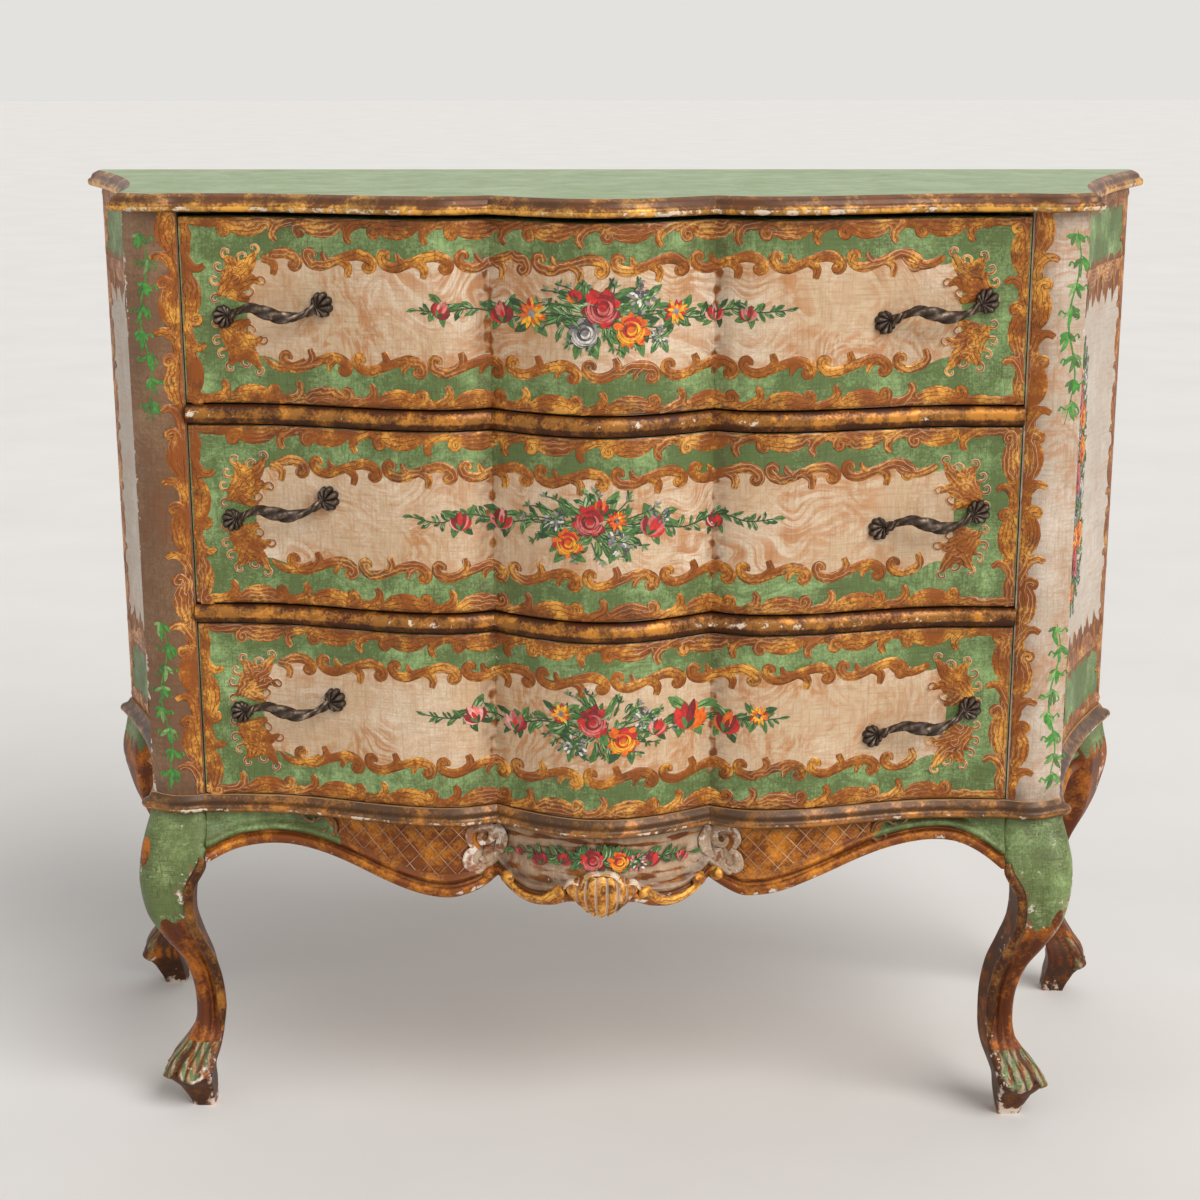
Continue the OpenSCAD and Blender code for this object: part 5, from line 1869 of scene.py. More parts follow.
class ApronLine:
    """Lower edge of the front apron, from one leg to the other."""

    drop = 76.0
    end = 381.0
    middle: Rows = ((0, 0.87), (0.3, 0.89), (0.47, 0.97), (0.68, 1), (0.86, 0.91), (1, 0.74))
    left: Rows = ((0, 0.74), (0.05, 0.87), (0.11, 0.95), (0.18, 0.985), (0.28, 0.93), (0.39, 0.8), (0.5, 0.645),
                  (0.6, 0.53), (0.7, 0.46), (0.79, 0.45), (0.89, 0.49), (0.95, 0.55), (1, 0.625))
    right: Rows = ((0, 0.74), (0.04, 0.82), (0.1, 0.91), (0.15, 0.92), (0.25, 0.86), (0.4, 0.665), (0.52, 0.5),
                   (0.63, 0.39), (0.75, 0.33), (0.85, 0.355), (0.93, 0.47), (1, 0.63))

    def __init__(self, top: float) -> None:
        """Works the line out below a top height.

        Args:
            top: Height of the upper edge.
        """
        sides = []
        for wing in (self.left, self.right):
            a, b = spline(self.middle, 8), spline(wing, 8)
            x = np.concatenate([FRONT.crease_x * a[:-1, 0], FRONT.crease_x + (self.end - FRONT.crease_x) * b[:, 0]])
            sides.append((x, top - self.drop * np.concatenate([a[:-1, 1], b[:, 1]])))
        (left_x, left_z), (right_x, right_z) = sides
        self.x = np.concatenate([-left_x[:0:-1], right_x])
        self.z = np.concatenate([left_z[:0:-1], right_z])

    def at(self, x: np.ndarray) -> np.ndarray:
        """Height of the edge at x."""
        return np.interp(x, self.x, self.z)


def apron_section(low: np.ndarray, top: float, thick: float) -> tuple[np.ndarray, np.ndarray]:
    """A section through an apron: a flat face, a hollow, and a bead along the lower edge.

    Args:
        low: Lower edge, one for each column.
        top: Upper edge.
        thick: Thickness of the board.

    Returns:
        Height and lift of each point of the sections.
    """
    bead, out, low = 10.0, 4.2, low[:, None]
    above = (top - low - bead) * (1 - np.linspace(0, 1, 26))
    face = low + bead + above
    above = face - low - bead
    hollow = -1.6 * bump(above, 1.5, 1.8) + 2.4 * bump(above, 7.5, 3.0) - 1.4 * bump(above, 13, 2.6)
    cove = np.clip(above - 12, 0, None) / np.maximum(top - low - 22, 6)
    hollow = hollow * (above > 0.01) - 3.2 * np.sin(np.pi * unit(cove))
    a = np.linspace(0, math.pi, 11)[1:]
    z = np.concatenate([face, low + bead * (0.5 + 0.5 * np.cos(a)), low, 0 * low + top], 1)
    return z, np.concatenate([hollow, out * np.sin(a) + 0 * low, np.full((len(low), 2), -thick)], 1)


def hatch(brush: Brush, side: int, leans: Sequence[float], starts: np.ndarray, span: tuple[float, float], long: float,
          top: float, edge: Callable[[np.ndarray], np.ndarray]) -> None:
    """Scratches the diamonds of an apron.

    Args:
        brush: What lays the strokes.
        side: 1 where places run as they are given and -1 where they are mirrored.
        leans: Slopes of the two sets of lines.
        starts: Where the lines start along the top.
        span: Where the diamonds start and end.
        long: Greatest depth of a line, of which a sample is taken every 2.5 mm.
        top: Upper edge of the apron.
        edge: Gives the lower edge of the apron at places.
    """
    for lean in leans:
        for start in starts:
            d = np.linspace(0, long, round(long / 2.5) + 1)
            x, z = start + lean * d, top - 1 - d
            inside = (x > span[0]) & (x < span[1]) & (z > edge(side * x) + 21)
            if inside.sum() > 3:
                path = np.stack([side * x[inside], z[inside]], -1)
                brush.lay(path, np.full(len(path), 0.27), 0.25, pale=0.42)


ROCAILLE = tuple(Stroke(path, widths, 1.3) for path, widths in (
    (((24, 24), (27, 15), (22, 6), (12, 4), (5, 10), (6, 19), (13, 22), (17, 16), (14, 12)),
     (2, 3.6, 4.6, 5, 4.6, 4, 3.4, 2.6, 2)),
    (((1, 4), (-4, 16), (-2, 28), (4, 36)), (4, 6, 5, 3)),
    (((20, 26), (27, 32), (28, 42), (20, 47), (13, 42), (16, 36)), (3, 4.4, 5, 4.4, 3.4, 2.2)),
    (((8, 26), (9, 34), (6, 42)), (4, 5, 3))))
WING_SCROLL = tuple(Stroke(path, widths, 0.9, 0.35) for path, widths in (
    (((16, 8), (8, 3), (-1, 6), (-4, 14), (-1, 22), (6, 24), (9, 19), (5, 16)), (1.0, 1.7, 2.0, 2.0, 1.8, 1.6, 1.3, 1)),
    (((30, 2), (26, 8), (20, 10), (17, 6)), (1, 1.6, 1.6, 1))))


@dataclass
class Apron:
    """The carved front apron, its rocaille scrolls, its cross-hatching and its small spray."""

    finishes: Finishes
    set_back: float = 2.0
    thick: float = 20.0
    green_from: float = 262.0
    hatch_step: float = 18.5
    knee_step: float = 21.0
    knee_from: float = 322.0

    def __post_init__(self) -> None:
        """Takes the height from the frame."""
        self.top = node_box("base_board")[0].z
        self.line, self.skin = ApronLine(self.top), FrontSkin(FRONT, self.set_back)

    def ground(self) -> None:
        """Builds the apron itself."""
        across = FRONT.places(self.line.end + 3, 3.2)
        low = self.line.at(across)
        z, lift = apron_section(low, self.top, self.thick)
        x, over, down = across[:, None] + 0 * z, z - low[:, None], self.top - z
        a = np.abs(x)
        step = self.knee_step * (1 - 0.62 * unit((49 - down) / 49))
        sweep = unit((a - self.knee_from) / (self.line.end - self.knee_from)) ** 2.2
        lift = np.where(lift > 1 - self.thick, lift + step * sweep, lift)
        pale_end = FRONT.crease_x + 20 + 6 * np.cos(down / 6.5)
        gilt = np.maximum(np.minimum(a - pale_end, self.green_from + 9 * np.cos(down / 9) - a), 13 - over)
        grime = 0.9 * bump(over, 13, 2.0) + 0.5 * bump(down, 0, 7) + 0.45 * bump(over, 21, 2.0)
        grime += 0.35 * (a < FRONT.crease_x) * bump(over, 22, 8) + 0.5 * bump(a, FRONT.crease_x - 7, 6)
        streaks = np.sin(z / 1.7 + 1.6 * np.sin(x / 23)) + 0.7 * np.sin(z / 0.9 + x / 15) + 0.5 * np.sin(x / 5.1)
        inside, reach = a < FRONT.crease_x - 8, np.maximum(bump(down, 9, 8), bump(over, 26, 8))
        gilt = np.maximum(gilt, np.where(inside, 1.5 * (streaks * reach - 0.32), -50.0))
        piece = Piece("apron_front_painted")
        piece.grid(self.skin.place(x, z, lift), cream=pale_end + 1 - a, gilt=gilt,
                   grime=grime + 0.35 * unit(streaks) * inside * reach,
                   worn=0.35 * bump(over, 3, 4) + 0.12 * (a < FRONT.crease_x))
        piece.build(Slot.APRON, [self.finishes.apron], "apron_front")

    def carving(self) -> None:
        """Lays the rocaille scrolls, the beads of the cartouche and the cross-hatching."""
        piece, top, crease = Piece("apron_front_carving"), self.top, FRONT.crease_x
        brush = Brush(piece, self.skin, 5)
        for side in (-1, 1):
            for stroke in ROCAILLE:
                brush.stroke(stroke, Spot(side * crease, top, (side, 0)), 1, cream=50.0, gilt=-50.0, worn=0.5,
                             grime=0.06)
            brush.ball(side * (crease + 12), top - 17, 3.0, 1.6, 1, cream=-50.0, gilt=50.0, grime=1.0)
            for place, up in ((crease + 7, 9.0), (crease - 9, 9.0), (41, 12.0)):
                brush.ball(side * place, float(self.line.at(side * place)) + up, 7.2, 7.5, 0, worn=0.5)
            xs = np.linspace(crease - 9, 44, 12)
            zs = self.line.at(side * xs) + 5.5 + 7 * bump(xs, 44, 8)
            brush.lay(np.stack([side * xs, zs], -1), np.full(12, 4.4), 6.0, worn=0.6)
            first, last = crease + 24, self.green_from - 6
            hatch(brush, side, (-0.85, 0.95), np.arange(first - 90, last + 90, self.hatch_step), (first, last), 80, top,
                  self.line.at)
            for stroke in WING_SCROLL:
                brush.stroke(stroke, Spot(side * self.green_from, top, (side, 0)), grime=0.5)
        piece.build(Slot.APRON, [self.finishes.gilding, self.finishes.apron])

    def build(self) -> None:
        """Builds the apron with all that it carries."""
        self.ground()
        self.carving()
        piece = Piece("apron_front_flowers")
        FlowerPainter(piece, self.skin, 8).small_spray(0, self.top - 26, 84)
        piece.build(Slot.APRON, [self.finishes.flowers])


@dataclass
class SideApron(SidePart):
    """A carved side apron, gilt and cross-hatched, with a green rear end."""

    edge: Rows = ((0, 0.66), (0.1, 0.53), (0.28, 0.5), (0.5, 0.74), (0.72, 0.5), (0.9, 0.53), (1, 0.66))
    start: float = 40.0
    thick: float = 20.0
    hatch_step: float = 17.0
    stem = "apron"

    def build(self) -> None:
        """Builds the apron with its bead and its hatching."""
        top, line, long = node_box("base_board")[0].z, spline(self.edge, 8), SIDES.length
        u, low = self.start + (long - 2 * self.start) * line[:, 0], top - ApronLine.drop * line[:, 1]
        places = np.linspace(u[0], u[-1], 90)
        lows = np.interp(places, u, low)
        z, lift = apron_section(lows, top, self.thick)
        us, over, skin = places[:, None] + 0 * z, z - lows[:, None], SideSkin(SIDES, self.side, 2.0)
        piece = Piece(self.name + "_painted")
        piece.grid(skin.place(us, z, lift), cream=-50.0, worn=0.4 * bump(over, 3, 4),
                   gilt=np.maximum(long * 0.66 + 6 * np.cos(z / 7) - us, 13 - over),
                   grime=0.7 * bump(over, 13, 2.2) + 0.6 * bump(z, top, 9))
        piece.build(Slot.APRON, [self.finishes.apron], self.name)
        carving = Piece(self.name + "_hatching")
        hatch(Brush(carving, skin, 20 + self.side), 1, (-0.9, 0.9), np.arange(-60, long, self.hatch_step),
              (self.start + 4, long * 0.62), 70, top, lambda x: np.interp(x, u, low))
        carving.build(Slot.APRON, [self.finishes.gilding])


@dataclass
class Shell:
    """The carved shell under the middle of the apron: upright ribs, drawn in at both ends."""

    finishes: Finishes
    ribs: int = 9
    half: float = 34.0
    rise: float = 11.0
    low: float = 232.0
    high: float = 271.0
    rows: Rows = ((0, 0.72), (0.15, 0.86), (0.4, 0.98), (0.6, 1), (0.8, 0.97), (1, 0.88))
    arch = Stroke(((0, 3), (10, 2), (17, -4), (20, -8), (30, -7), (36, -14)), (1.2, 2.2, 2.2, 1.8, 2.2, 1.0), 9.0, 1.0)

    def build(self) -> None:
        """Builds the shell as a closed loft of upright sections."""
        count = self.ribs * 12
        share, q = np.linspace(-1, 1, count + 1)[:, None], np.linspace(0, 1, 18)
        rib = np.abs(np.sin(np.pi * np.arange(count + 1) / 12))[:, None]
        round_x = np.sin(share * math.radians(80)) / math.sin(math.radians(80))
        x = self.half * round_x * smooth_rows(q, self.rows)
        low = self.low + 22 * (1 - np.cos(share * math.radians(86))) - 1.2 * rib
        high = self.high - 10 * np.abs(share) ** 1.6 + 1.6 * rib
        swell = np.sqrt(unit(1.04 - (1.7 * (q - 0.55)) ** 2))
        lift = self.rise * swell * (0.55 + 0.45 * np.sqrt(1 - 0.9 * round_x ** 2)) * (1 - 0.24 * (1 - rib ** 0.6))
        x, z = (np.pad(part, ((0, 0), (1, 1)), "edge") for part in (x, low + (high - low) * q))
        lift = np.pad(lift, ((0, 0), (1, 1)), constant_values=-3.0)
        skin, piece = FrontSkin(FRONT, 2.0), Piece("apron_shell_carved")
        # The ribs carry more rubbing, which brightens them as wear and as a painted highlight; the furrows are darker.
        piece.grid(skin.place(x, z, lift), grime=0.25 * ((1 - rib) ** 2 + 0 * x), edge=0.2 + 1.9 * rib ** 1.3, vein=0.0,
                   pale=1.0, tone=0.5, worn=np.clip(0.4 * rib + bump(np.pad(q, 1, "edge"), 0, 0.1), 0, 1.2))
        brush = Brush(piece, skin, 3)
        for side in (-1, 1):
            brush.stroke(self.arch, Spot(0, self.high, (side, 0), (0, 1)), worn=1.2)
        piece.build(Slot.APRON, [self.finishes.gilding], "apron_shell")


@dataclass
class Leg(SidePart):
    """A cabriole leg: green knee, gilt shaft, carved toes and a dark block under them."""

    rear: bool = False
    block: float = 56.0
    turn: float = 0.0
    lean: float = 26.0
    step: float = 0.18
    knee: float = 0.85
    toe_top: float = 0.25
    toe_lip: float = 0.098
    rear_turn: float = math.atan(float(SIDES.slope(1.0)))

    front_out = ((0, -0.41), (0.07, -0.23), (0.115, -0.05), (0.15, -0.1), (0.195, -0.3), (0.24, -0.48), (0.3, -0.54),
                 (0.4, -0.5), (0.49, -0.34), (0.575, -0.07), (0.66, 0.16), (0.765, 0.27), (0.84, 0.27), (0.9, 0.21),
                 (1, 0.07))
    rear_out = ((0, -0.45), (0.07, -0.27), (0.115, -0.09), (0.16, -0.1), (0.21, -0.27), (0.27, -0.45), (0.35, -0.53),
                (0.45, -0.53), (0.566, -0.36), (0.685, -0.03), (0.78, 0.15), (0.88, 0.25), (1, 0.14))
    front_width = ((0, 0.42), (0.07, 0.62), (0.115, 0.8), (0.15, 0.8), (0.195, 0.68), (0.24, 0.54), (0.3, 0.48),
                   (0.4, 0.49), (0.49, 0.57), (0.575, 0.7), (0.66, 0.82), (0.765, 0.97), (0.84, 1.2), (0.9, 1.21),
                   (1, 1.07))
    rear_width = ((0, 0.42), (0.07, 0.55), (0.115, 0.68), (0.16, 0.68), (0.21, 0.57), (0.27, 0.48), (0.35, 0.46),
                  (0.45, 0.52), (0.566, 0.64), (0.685, 0.79), (0.78, 0.96), (0.88, 1.12), (1, 1.04))

    @property
    def stem(self) -> str:
        """Name of the node without its side."""
        return "leg_rear" if self.rear else "leg_front"

    @staticmethod
    def square(width: float, rounding: float, inner: float) -> np.ndarray:
        """A square with a rounded outer corner, as places across and along from its outer faces.

        Args:
            width: Its width.
            rounding: Rounding of the outer corner, as a share of the width.
            inner: Rounding of the front corner beside the apron.

        Returns:
            The points, in the same number at any width.
        """
        r, s, t = rounding * width, 0.1 * width, inner * width
        parts = []
        for cx, cy, rad, first, count in ((-r, -r, r, 0, 15), (t - width, -t, t, 90, 7),
                                          (s - width, s - width, s, 180, 5), (-s, s - width, s, 270, 5)):
            a = np.radians(first + np.linspace(0, 90, count))
            parts.append(np.stack([cx + rad * np.cos(a), cy + rad * np.sin(a)], -1))
        ring = []
        for here, after in zip(parts, parts[1:] + parts[:1]):
            ring += [here, here[-1] + (after[0] - here[-1]) * np.linspace(0, 1, 14)[1:-1, None]]
        return np.vstack(ring)

    def section(self, k: float) -> tuple[np.ndarray, np.ndarray]:
        """The section at a share of the height.

        Args:
            k: The share.

        Returns:
            Its points and the angle of each point about its middle, where 45 degrees is the outer corner.
        """
        rows = (self.rear_out, self.rear_width) if self.rear else (self.front_out, self.front_width)
        out, width = (self.block * float(smooth_rows(np.array([k]), row)[0]) for row in rows)
        ring = self.square(width, 0.22 if self.rear else 0.36, 0.1 + 0.12 * float(unit((k - 0.84) / 0.06)))
        way = np.roll(ring, -1, 0) - np.roll(ring, 1, 0)
        normal = np.stack([way[:, 1], -way[:, 0]], -1) / np.maximum(np.linalg.norm(way, axis=1, keepdims=True), 1e-6)
        angle = np.degrees(np.arctan2(ring[:, 1] + width / 2, ring[:, 0] + width / 2))
        angle = np.where(angle < -135, angle + 360, angle)
        x, y = (ring + normal * self.relief(k, angle)[:, None]).T
        bent = min(1.0, k / self.knee)
        spot = SIDES.point(1.0 if self.rear else 0.0)
        if self.rear:
            slant, back = self.rear_turn * bent, 0.1 * out + y
            return np.stack([spot[0] + (out + x) / math.cos(slant) + back * math.tan(slant), spot[1] + back], -1), angle
        fore = out + self.step * self.block + self.lean * (1 - k)
        across = x + self.turn * math.sin(math.pi * bent) * y / width
        return np.stack([spot[0] + out + across, spot[1] - fore - y], -1), angle

    @staticmethod
    def toes(angle: np.ndarray) -> tuple[np.ndarray, np.ndarray]:
        """How full the carved toes are at an angle about the leg, and how high the ridges on them."""
        lobes, ridges = (np.abs(np.cos(np.radians((angle - 20) * 180 / wide))) for wide in (76, 25.3))
        return lobes, ridges ** 0.8

    def relief(self, k: float, angle: np.ndarray) -> np.ndarray:
        """How far the carving stands out or is cut in, at a height share and at angles about the leg.

        Args:
            k: Share of the height.
            angle: Angles about the leg.

        Returns:
            The relief at each angle.
        """
        lobes, ridges = self.toes(angle)
        lip = self.toe_lip + 0.03 * (1 - lobes)
        swell = unit((self.toe_top - k) / (self.toe_top - self.toe_lip))
        toes = (k > lip) * swell ** 1.2 * (5.4 * lobes ** 0.7 - 2.2 - 1.7 * (1 - ridges))
        roll = 3.4 * bump(k - lip, 0.012, 0.010) * (0.4 + 0.6 * lobes)
        flutes = sum(deep * bump(angle, at, wide) for deep, at, wide in (
            (-1.9, 112, 7), (-1.7, 84, 9), (1.2, 99, 6), (0.8, 62, 9)))
        return window(angle, -66, 140, 5, 5) * (toes + roll) + unit((k - 0.2) / 0.06) * unit((0.68 - k) / 0.1) * flutes

    def build(self) -> None:
        """Builds the leg as rings of points with their paint values."""
        tall = node_box(self.name)[1].z
        shares = np.concatenate([np.linspace(0, 0.26, 110), np.linspace(0.26, 1, 120)[1:]])
        rings, angles = zip(*(self.section(k) for k in shares))
        plan, angle, k = np.stack(rings), np.stack(angles), shares[:, None]
        outer = window(angle, -72, np.where(k > 0.79, 165, 130), 5, 4)
        cut = 0.65 - 0.11 * (1 - unit((angle - 20) / 45)) + 0.008 * np.cos(np.radians(angle * 9))
        lobes, ridges = self.toes(angle)
        lip = self.toe_lip + 0.03 * (1 - lobes)
        on_toe = (k > lip) & (k < 0.215)
        ragged = 2.2 * np.sin(angle * 0.23 + 90 * k) + 1.6 * np.sin(angle * 0.61 - 140 * k)
        gilt = np.where(on_toe, 3.4 - 9 * ridges * lobes + ragged, (cut - k) * tall)
        gilt = np.where(outer < 0.5, 4.0, gilt)
        grime = 0.85 * (1 - outer) * (0.35 if self.rear else 1.0) + 0.85 * (k < lip)
        grime += 0.95 * on_toe * unit(1.1 - 1.6 * ridges) + 0.5 * on_toe * (lobes < 0.4)
        shaft = bump(k, 0.4, 0.16) ** 0.4 * (0.6 + 0.4 * np.sin(70 * k + angle / 9))
        grime += shaft * (0.6 * bump(angle, 108, 7) + 0.5 * bump(angle, 84, 6) + 0.6 * bump(angle, -25, 26))
        grime += 0.3 * on_toe * (np.sin(angle * 0.9 + 60 * k) > 0.3)
        worn = 0.45 * bump(k - lip, 0.011, 0.008) * (outer > 0.5) * lobes + 0.45 * bump(k, 0, 0.03)
        worn += 0.35 * bump(angle, 18, 20) * bump(k, 0.8, 0.08) + 0.3 * bump(angle, 30, 20) * bump(k, 0.56, 0.07)
        at, up, tall_share = (40.0, 0.87, 0.05) if self.side < 0 else (58.0, 0.66, 0.06)
        gilt = np.maximum(gilt, 10 * (bump(angle, at, 15) * bump(k, up, tall_share) - 0.45))
        worn += 0.3 * bump(gilt, 0, 5) * ~on_toe + 0.32 * bump(angle, 132, 16) * (k < 0.86) + 0.08 * on_toe * ridges
        if self.rear:
            gilt = np.maximum(gilt, (0.93 + 0.02 * np.sin(angle * 0.3) - k) * tall * (k > 0.26))
        piece = Piece(self.name + "_carved")
        cream = np.where(on_toe & (ridges > 0.5), 1.9 * np.sin(angle * 0.35 + 160 * k) - 0.3, -50.0)
        piece.grid(sheet(self.side * plan[..., 0], plan[..., 1], k * tall), cream=cream, gilt=gilt, grime=grime,
                   worn=worn)
        piece.build(Slot.LEGS, [self.finishes.legs], self.name, crease=40)
        self.bead(tall)

    def bead(self, tall: float, count: int = 70) -> None:
        """Lays the gilt bead that runs from the apron down the inner front edge of the leg.

        Args:
            tall: Height of the leg.
            count: Number of its sections.
        """
        middle = []
        for k in np.linspace(0.8 if self.rear else 0.862, 0.245, count):
            ring, angle = self.section(float(k))
            x, y = ring[int(np.argmin(np.abs(angle - 132)))]
            middle.append((self.side * x, y, k * tall))
        path = np.array(middle)
        way = np.gradient(path, axis=0)
        way /= np.linalg.norm(way, axis=1, keepdims=True)
        across = np.cross(way, [0, 1, 0])
        across /= np.linalg.norm(across, axis=1, keepdims=True)
        front, a, number = np.cross(across, way), circle(12), np.arange(count)
        half = 5.0 * np.minimum(1, np.minimum(number + 9, count + 2 - number) / 12)[:, None, None]
        piece = Piece(self.name + "_bead")
        piece.grid(path[:, None] + half * (np.cos(a)[:, None] * across[:, None] + np.sin(a)[:, None] * front[:, None]),
                   edge=50.0, vein=0.0, tone=0.45, pale=0.0, worn=0.35, grime=0.7 * unit(np.cos(a + 0.6))[None])
        piece.build(Slot.LEGS, [self.finishes.rail], closed=True)


@dataclass
class Handle(SidePart):
    """A cast pull: a twisted bar between two leaves."""

    number: int = 1
    reach: float = 300.0
    pitch: float = 85.0
    rise: float = 22.0
    leaf_r: float = 13.0
    leaf_t: float = 6.6
    fan_turn: float = 0.5
    gap: float = 0.3
    rows = ((-0.47, 0.2, -1, 5), (-0.4, 0.42, 1, 4.6), (-0.36, 0.5, 3, 3.6), (-0.24, 0.82, 6, 4.4), (-0.1, 1, 3, 6),
            (0.04, 1, -2, 6.5), (0.2, 0.86, -5.5, 5.2), (0.33, 0.55, -5, 3.4), (0.4, 0.4, -3, 4.4), (0.47, 0.2, -1, 5))
    lifts = ((1, 1), (7, -1), (6, -6))
    tilts = ((8, 13), (19, 8.5), (12, 19))

    @property
    def stem(self) -> str:
        """Name of the node without its side."""
        return f"drawer_{self.number}_handle"

    def build(self) -> None:
        """Builds the bar and both leaves."""
        low, high = node_box(f"drawer_{self.number}_front")
        lift, tilt = (table[self.number - 1][(self.side + 1) // 2] for table in (self.lifts, self.tilts))
        middle = (low.z + high.z) / 2 + lift
        x = self.side * self.reach + np.array([-0.5, 0.5]) * self.pitch
        y = FRONT.y(x) - self.gap
        piece = Piece(self.name + "_cast")
        for end, grow in ((0, 0.92), (1, 1.0)):
            self.leaf(piece, (x[end], y[end], middle + (end - 0.5) * tilt), grow, 180 * (1 - end))
        along, out, up, thick = spline(self.rows, 9).T[..., None]
        share, a = along + 0.5, circle(20)
        strands = np.abs(np.cos(1.5 * (a + np.radians(28 / 3 * np.arange(len(share)))[:, None])))
        radius = thick * (0.66 + 0.42 * strands ** 0.7)
        # The crests of the twist are marked rubbed and the grooves dark: wear and patina, and also painted highlight
        # and painted shade.
        piece.grid(sheet(x[0] + (x[1] - x[0]) * share,
                         y[0] + (y[1] - y[0]) * share - self.rise * out + radius * np.cos(a),
                         middle + up + tilt * along + radius * np.sin(a)),
                   worn=0.9 * strands ** 2, grime=0.9 * (1 - strands) ** 2)
        piece.build(Slot.HANDLE, [self.finishes.bronze], self.name, Body(f"drawer_{self.number}"), crease=50)

    def leaf(self, piece: Piece, at: tuple[float, float, float], grow: float, turned: float) -> None:
        """Adds one leaf: lobes that curl up from a hollow, with a vein along each.

        Args:
            piece: What it is added to.
            at: The place on the drawer front under its middle.
            grow: Its size.
            turned: How far its lobes are turned, in degrees.
        """
        a, share, (x, y, z) = circle(112), np.linspace(0.02, 1, 15)[:, None], at
        fan_a = a - math.radians(turned) - self.fan_turn
        fan = 0.5 + 0.5 * np.cos(np.abs((fan_a + math.pi) % (2 * math.pi) - math.pi))
        lobe = np.abs(np.cos(5.5 * fan_a))
        reach = self.leaf_r * grow * (0.44 + 0.74 * fan ** 1.2 + 0.24 * fan * (lobe ** 0.6 - 0.5)) * share
        height = self.leaf_t * (0.55 + 0.7 * share ** 1.4 * fan * (0.35 + 0.65 * lobe)
                                + 0.45 * (1 - fan) * (1 - share)) * np.sqrt(1.02 - share ** 8)
        height = height - 0.9 * fan * (1 - lobe) ** 2 * np.sin(np.pi * share ** 0.7)
        lean = math.atan(float(FRONT.y(np.array([x + 1]))[0] - FRONT.y(np.array([x - 1]))[0]) / 2)
        px, pz, out = (np.vstack([part, last]) for part, last in (
            (reach * np.cos(a), (reach * np.cos(a))[-1:]), (reach * np.sin(a), (reach * np.sin(a))[-1:]),
            (height, 0 * a[None])))
        px = px * 0.95
        piece.grid(sheet(x + px * math.cos(lean) + out * math.sin(lean), y + px * math.sin(lean) - out * math.cos(lean),
                         z + pz), worn=np.vstack([0.9 * lobe ** 3 * np.sin(np.pi * share), 0 * a[None]]),
                   grime=np.vstack([(1 - lobe) ** 2 + 0 * share, 0 * a[None] + 1]))


@dataclass
class Studio:
    """Floor, soft lights and the camera at the photograph's angle."""

    eye: tuple[float, float, float] = (62.3, -2326.3, 1046.4)
    pitch: float = 0.285
    yaw: float = -0.030
    roll: float = -0.002
    lens: float = 72.0
    shift_up: float = 0.1
    floor_half: float = 30.0

    @staticmethod
    def direction(turn: float, height: float) -> Vector:
        """The direction at a turn from the front to the right and at a height, both in radians."""
        return Vector((math.sin(turn) * math.cos(height), -math.cos(turn) * math.cos(height), math.sin(height)))

    def camera(self) -> None:
        """Sets the camera up."""
        data = bpy.data.cameras.new("camera")
        data.lens, data.sensor_width, data.shift_y = self.lens, 36.0, self.shift_up
        camera = place_in_scene("camera", data)
        ahead = self.direction(math.pi - self.yaw, -self.pitch)
        turned = ahead.to_track_quat("-Z", "Y").to_matrix().to_4x4() @ Matrix.Rotation(self.roll, 4, "Z")
        camera.matrix_world = Matrix.Translation(Vector(self.eye) * MM) @ turned
        bpy.context.scene.camera = camera

    def lamp(self, name: str, turn: float, height: float, strength: float, spread: float) -> None:
        """Adds a wide, soft, distant lamp.

        Args:
            name: Its name.
            turn: Its direction round the commode in degrees, where 0 is the front and 90 the right.
            height: Its height above the horizon in degrees.
            strength: Its strength.
            spread: Its apparent width in degrees.
        """
        data = bpy.data.lights.new(name, "SUN")
        data.energy, data.angle = strength, math.radians(spread)
        towards = self.direction(math.radians(turn), math.radians(height))
        place_in_scene(name, data).rotation_euler = towards.to_track_quat("Z", "Y").to_euler()

    def floor(self) -> None:
        """Lays the floor and sets the pale surroundings."""
        mesh, far = bpy.data.meshes.new("floor"), self.floor_half
        mesh.from_pydata([(-far, -far, 0), (far, -far, 0), (far, far, 0), (-far, far, 0)], [], [(0, 1, 2, 3)])
        floor = place_in_scene("floor", mesh)
        tree = Coat("floor")
        cloud = tree.place().noise(3, 3).span(0.3, 0.7)
        mesh.materials.append(tree.close(Base_Color=tree.mix(cloud, srgb(226, 223, 218), srgb(221, 218, 213)),
                                         Roughness=0.75))
        world = bpy.data.worlds.new("surroundings")
        world.use_nodes = True
        tree = Tree(world.node_tree)
        rays = tree.add("LightPath", out="Is Camera Ray")
        seen = rays.most(rays["Is Glossy Ray"].most(rays["Is Transmission Ray"]))
        tree.feed(tree.tree.nodes["Background"], {0: tree.mix(seen, srgb(160, 160, 162), srgb(228, 226, 223))})
        bpy.context.scene.world = world

    def build(self) -> None:
        """Sets the whole studio up."""
        bpy.context.scene.view_settings.view_transform = "Standard"
        self.camera()
        self.floor()
        self.lamp("key_lamp", 46, 40, 2.6, 45)
        self.lamp("fill_lamp", -36, 32, 0.35, 70)
        self.lamp("back_lamp", 165, 50, 0.4, 60)


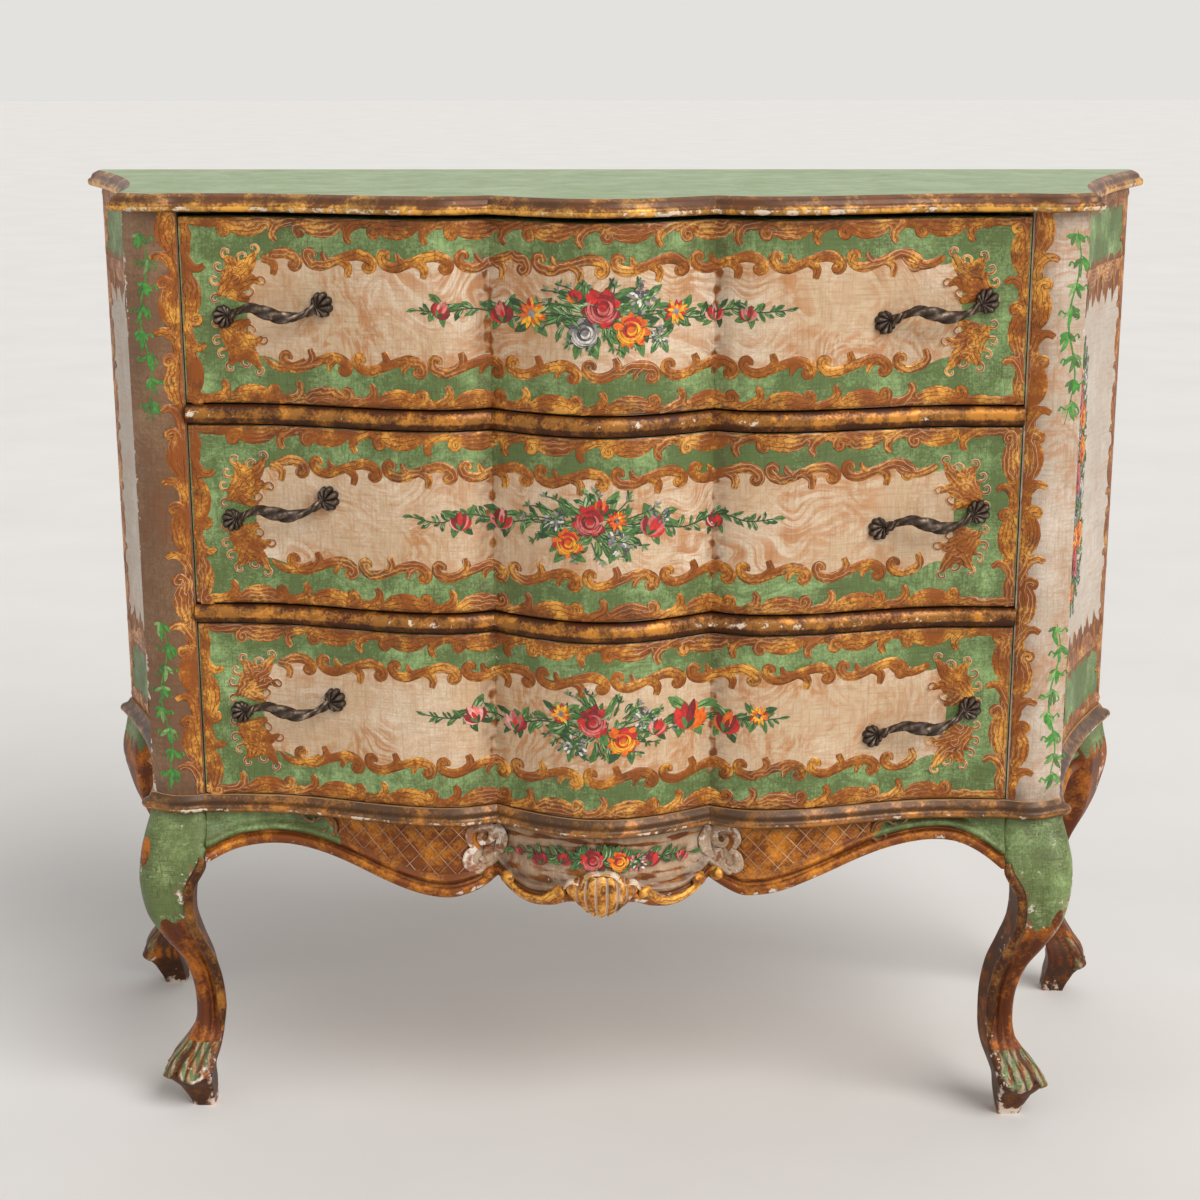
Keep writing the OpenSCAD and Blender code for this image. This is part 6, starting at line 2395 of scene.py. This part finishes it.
def dress_nodes(finishes: Finishes) -> None:
    """Gives every node of the construction that stays in view a finish with grain along its length.

    Args:
        finishes: The finishes to choose from.
    """
    fitting = ((("_screws",), finishes.steel), (("_side_left", "_side_right"), finishes.drawer_deep),
               (("_back", "_bottom"), finishes.drawer_across))
    named = {"rear_post_left": finishes.inner_up, "rear_post_right": finishes.inner_up,
             "batten_left": finishes.inner_up, "batten_right": finishes.inner_up,
             **dict.fromkeys(("base_board", "back_panel", "apron_back", "corner_blocks", "drawer_stops"),
                             finishes.inner)}
    for name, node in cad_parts.items():
        material = named.get(name, finishes.inner_deep)
        for ends, drawer_finish in fitting:
            if name.startswith("drawer_") and name.endswith(ends):
                material = drawer_finish
        node.data.materials.clear()
        node.data.materials.append(material)
        LOG.info("%s wears %s", name, material.name)


def main() -> None:
    """Builds the commode's looks in order."""
    logging.basicConfig(level=logging.INFO, format="%(message)s")
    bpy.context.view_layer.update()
    finishes = Finishes()
    dress_nodes(finishes)
    Studio().build()
    Top(finishes).build()
    Moulding("top_moulding", "top_moulding_gilt", "top_board", "top_board", 13.0, (
        (0, -2, 1), (0.6, 0, 0.8), (1, 3, 0.55), (1, 0.8, 0.45), (1, 0, 0.28), (1, 0.8, 0.1), (0.7, 0, 0))).build(
            finishes.moulding)
    Moulding("base_moulding", "base_moulding_worn", "base_moulding", "base_board", 12.0, (
        (0, -2, 1), (0.4, 0, 0.7), (1, 3, 0.55), (1, 1, 0.46), (1, 0, 0.28), (1, 1, 0.12), (0.7, 0, 0))).build(
            finishes.waist)
    for name in ("rail_upper", "rail_lower"):
        Rail(name, finishes).build()
    for side in (-1, 1):
        Stile(side, finishes).build()
        SidePanel(side, finishes).build()
        SideApron(side, finishes).build()
        Leg(side, finishes, turn=10.0 if side > 0 else -5.0).build()
        Leg(side, finishes, rear=True).build()
    Apron(finishes).build()
    Shell(finishes).build()
    for number in (1, 2, 3):
        DrawerFront(number, finishes).build()
        for side in (-1, 1):
            Handle(side, finishes, number).build()


if __name__ == "__main__":
    main()
